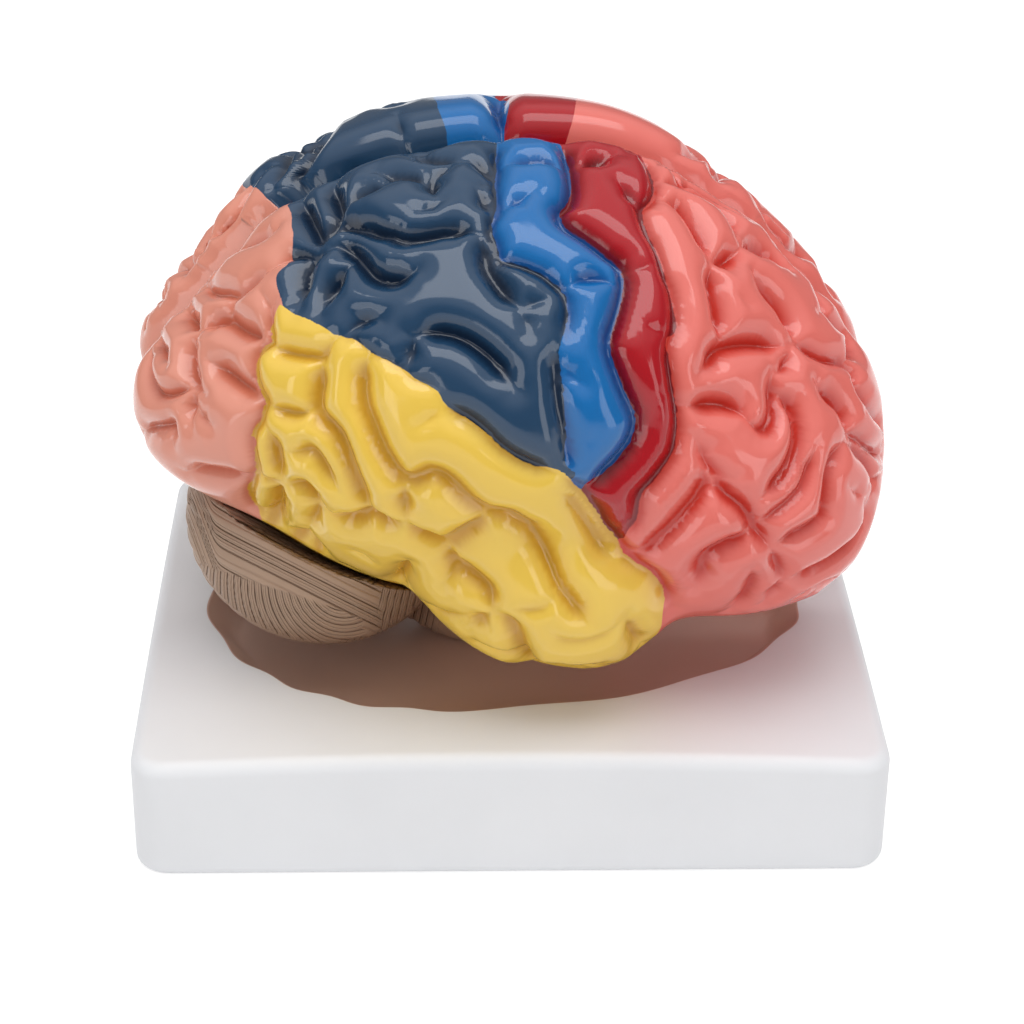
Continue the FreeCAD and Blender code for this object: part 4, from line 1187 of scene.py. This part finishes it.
def standRings(angles):
    # every ring from the middle of the hollow over the rim and the edge to the middle of the underside
    floor = stand["height"] - stand["hollowDepth"]
    rings = []
    for inset in (36.0, 22.0, stand["wallRun"] + 1.0):
        x, y = hollowRing(angles, inset)
        rings.append((x, y, np.full(len(x), floor)))
    slant = math.atan2(stand["hollowDepth"], stand["wallRun"])
    r = stand["rimRadius"]
    for rise in (0.06, 0.3, 0.6, 0.85):
        x, y = hollowRing(angles, stand["wallRun"] * (1.0 - rise))
        fall = (stand["height"] - crownHeight(x, y)) * rise
        rings.append((x, y, floor + stand["hollowDepth"] * rise - fall))
    for share in (1.0, 0.8, 0.6, 0.4, 0.2, 0.0):
        turn = share * slant
        x, y = hollowRing(angles, r * math.sin(turn) - r * math.tan(slant / 2))
        rings.append((x, y, crownHeight(x, y) - r * (1.0 - math.cos(turn))))
    rimCount = len(rings)
    ax, ay = hollowRing(angles, -r * math.tan(slant / 2))
    bx, by = edgeRing(angles, stand["topRadius"])
    for share in (0.06, 0.2, 0.4, 0.6, 0.8, 0.94, 1.0):
        x, y = ax + (bx - ax) * share, ay + (by - ay) * share
        rings.append((x, y, crownHeight(x, y)))
    t = stand["topRadius"]
    topEdge = crownHeight(bx, by)
    for turn in np.radians(np.arange(10.0, 91.0, 10.0)):
        x, y = edgeRing(angles, t - t * math.sin(turn))
        rings.append((x, y, topEdge - t * (1.0 - math.cos(turn))))
    f = stand["footRadius"]
    for height in (20.0, 12.0, f):
        x, y = edgeRing(angles, 0.0)
        rings.append((x, y, np.full(len(x), height)))
    for turn in np.radians(np.arange(15.0, 91.0, 15.0)):
        x, y = edgeRing(angles, f * (1.0 - math.cos(turn)))
        rings.append((x, y, np.full(len(x), f - f * math.sin(turn))))
    x, y = edgeRing(angles, 20.0)
    rings.append((x, y, np.zeros(len(x))))
    return rings, rimCount


def makeStand(materials):
    count = stand["segments"]
    angles = 2.0 * pi * np.arange(count) / count
    rings, rimCount = standRings(angles)
    bm = bmesh.new()
    bmesh.ops.create_circle(bm, segments=count, radius=1.0, cap_ends=True)
    turns = {v: round(math.atan2(v.co.y, v.co.x) / (2 * pi) * count) % count for v in bm.verts}
    loop = list(bm.edges)
    for v, i in turns.items():
        v.co = [c[i] * mm for c in rings[0]]
    for face in bm.faces:
        face.material_index = 1
    for number, ring in enumerate(rings[1:], 1):
        made = bmesh.ops.extrude_edge_only(bm, edges=loop)["geom"]
        fresh = {}
        for v in (g for g in made if isinstance(g, bmesh.types.BMVert)):
            source = next(e.other_vert(v) for e in v.link_edges if e.other_vert(v) in turns)
            fresh[v] = turns[source]
        for v, i in fresh.items():
            v.co = [c[i] * mm for c in ring]
        loop = [g for g in made if isinstance(g, bmesh.types.BMEdge) and g.is_boundary]
        for face in (g for g in made if isinstance(g, bmesh.types.BMFace)):
            face.material_index = 1 if number < rimCount - 1 else 0
        turns = fresh
    bmesh.ops.holes_fill(bm, edges=loop, sides=0)
    bmesh.ops.recalc_face_normals(bm, faces=bm.faces)
    mesh = bpy.data.meshes.new("mouldedStand")
    bm.to_mesh(mesh)
    bm.free()
    return linkPiece("mouldedStand", mesh, "base", materials)


# Moulded ABS: satin white with a faint mottle from the mould.
def makeAbs():
    material, tree, surface = newMaterial("mouldedWhiteAbs")
    place = addNode(tree, "ShaderNodeTexCoord").outputs["Object"]
    mottle = addNode(tree, "ShaderNodeTexNoise", Vector=place, Scale=45.0, Detail=3.0)
    mixed = addNode(tree, "ShaderNodeMix", {"data_type": "RGBA"}, Factor=mottle.outputs["Fac"],
                    i6=linearColour("#E8E9EC"), i7=linearColour("#EFF0F3"))
    fine = addNode(tree, "ShaderNodeTexNoise", Vector=place, Scale=1400.0, Detail=2.0)
    bump = addNode(tree, "ShaderNodeBump", Height=fine.outputs["Fac"], Distance=0.00003, Strength=0.5)
    shader = addNode(tree, "ShaderNodeBsdfPrincipled", Base_Color=mixed.outputs[2], Roughness=0.5, IOR=1.45,
                     Normal=bump.outputs["Normal"])
    tree.links.new(shader.outputs[0], surface)
    return material


# Satin brown lacquer sprayed into the hollow, its colour set paler than the paint as painted light that
# stands in for the light reaching under the brain.
def makeLacquer():
    material, tree, surface = newMaterial("sprayedBrownLacquer")
    place = addNode(tree, "ShaderNodeTexCoord").outputs["Object"]
    mottle = addNode(tree, "ShaderNodeTexNoise", Vector=place, Scale=60.0, Detail=3.0)
    # painted light: both tones are paler than the brown paint, to brighten the shaded hollow
    mixed = addNode(tree, "ShaderNodeMix", {"data_type": "RGBA"}, Factor=mottle.outputs["Fac"],
                    i6=linearColour("#D6B1A0"), i7=linearColour("#DDB9A8"))
    bump = addNode(tree, "ShaderNodeBump", Height=mottle.outputs["Fac"], Distance=0.0002, Strength=0.5)
    shader = addNode(tree, "ShaderNodeBsdfPrincipled", Base_Color=mixed.outputs[2], Roughness=0.3, IOR=1.5,
                     Normal=bump.outputs["Normal"])
    tree.links.new(shader.outputs[0], surface)
    return material


makeStand([makeAbs(), makeLacquer()])
print("stage: stand turned from rings")


# Ground steel rod, its roughness varied by fine noise.
def makeSteel():
    material, tree, surface = newMaterial("groundSteelRod")
    place = addNode(tree, "ShaderNodeTexCoord").outputs["Object"]
    lines = addNode(tree, "ShaderNodeTexNoise", Vector=place, Scale=900.0, Detail=3.0)
    rough = addNode(tree, "ShaderNodeMapRange", Value=lines.outputs["Fac"], To_Min=0.22, To_Max=0.4)
    shader = addNode(tree, "ShaderNodeBsdfPrincipled", Base_Color=linearColour("#B9BCC0"), Metallic=1.0,
                     Roughness=rough.outputs[0])
    tree.links.new(shader.outputs[0], surface)
    return material


steelMaterial = makeSteel()
for node in ("front_pin", "rear_pin"):
    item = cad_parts[node]
    item.data.materials.clear()
    item.data.materials.append(steelMaterial)


# Floor, world and lights

studio = {
    "floorSize": 6.0,
    "floorLift": 0.6,        # what the camera sees on top of the floor's own light
    "ambient": 0.5,
    "mirrored": (0.2, 1.0),  # what gloss sees of the room, at the horizon and overhead
    "boxes": {
        "overhead": ((0.0, -0.15, 0.85), (0.8, 0.5), 3.5),
        "leftBox": ((-0.8, -0.75, 0.28), (0.5, 0.5), 1.75),
        "rightBox": ((0.8, -0.75, 0.28), (0.5, 0.5), 1.75),
    },
    "aim": (0.0, 0.0, 0.08),
}


def makeStudio():
    bm = bmesh.new()
    bmesh.ops.create_grid(bm, x_segments=1, y_segments=1, size=studio["floorSize"] / 2)
    mesh = bpy.data.meshes.new("studioFloor")
    bm.to_mesh(mesh)
    bm.free()
    floor = bpy.data.objects.new("studioFloor", mesh)
    bpy.context.collection.objects.link(floor)
    material, tree, surface = newMaterial("whitePaperSweep")
    diffuse = addNode(tree, "ShaderNodeBsdfDiffuse", Color=(0.8, 0.8, 0.8, 1.0))
    path = addNode(tree, "ShaderNodeLightPath")
    seen = addNode(tree, "ShaderNodeMath", {"operation": "MAXIMUM"}, i0=path.outputs["Is Camera Ray"],
                   i1=path.outputs["Is Glossy Ray"]).outputs[0]
    lift = addNode(tree, "ShaderNodeMath", {"operation": "MULTIPLY"}, i0=seen,
                   i1=studio["floorLift"]).outputs[0]
    glow = addNode(tree, "ShaderNodeEmission", Color=(1.0, 1.0, 1.0, 1.0), Strength=lift)
    both = addNode(tree, "ShaderNodeAddShader", i0=diffuse.outputs[0], i1=glow.outputs[0])
    tree.links.new(both.outputs[0], surface)
    mesh.materials.append(material)

    world = bpy.data.worlds.new("whiteRoom")
    bpy.context.scene.world = world
    world.use_nodes = True
    tree = world.node_tree
    tree.nodes.clear()
    path = addNode(tree, "ShaderNodeLightPath")
    upward = addNode(tree, "ShaderNodeSeparateXYZ",
                     Vector=addNode(tree, "ShaderNodeTexCoord").outputs["Generated"]).outputs["Z"]
    horizon, overhead = studio["mirrored"]
    room = addNode(tree, "ShaderNodeMapRange", {"interpolation_type": "SMOOTHSTEP"}, Value=upward,
                   From_Min=0.25, From_Max=0.85, To_Min=horizon, To_Max=overhead).outputs[0]
    seen = addNode(tree, "ShaderNodeMath", {"operation": "MAXIMUM"}, i0=path.outputs["Is Camera Ray"],
                   i1=path.outputs["Is Transmission Ray"]).outputs[0]
    strength = addNode(tree, "ShaderNodeMapRange", Value=seen, To_Min=studio["ambient"]).outputs[0]
    strength = addNode(tree, "ShaderNodeMix", Factor=path.outputs["Is Glossy Ray"], i2=strength, i3=room)
    strength = strength.outputs[0]
    sky = addNode(tree, "ShaderNodeBackground", Color=(1.0, 1.0, 1.0, 1.0), Strength=strength)
    output = tree.nodes.new("ShaderNodeOutputWorld")
    tree.links.new(sky.outputs[0], output.inputs["Surface"])

    for name, (place, size, power) in studio["boxes"].items():
        light = bpy.data.lights.new(name, "AREA")
        light.shape = "RECTANGLE"
        light.size, light.size_y = size
        light.energy = power
        item = bpy.data.objects.new(name, light)
        bpy.context.collection.objects.link(item)
        item.location = place
        item.rotation_euler = (Vector(studio["aim"]) - Vector(place)).to_track_quat("-Z", "Y").to_euler()


makeStudio()
bpy.context.scene.view_settings.view_transform = "Standard"
print("stage: studio lit")
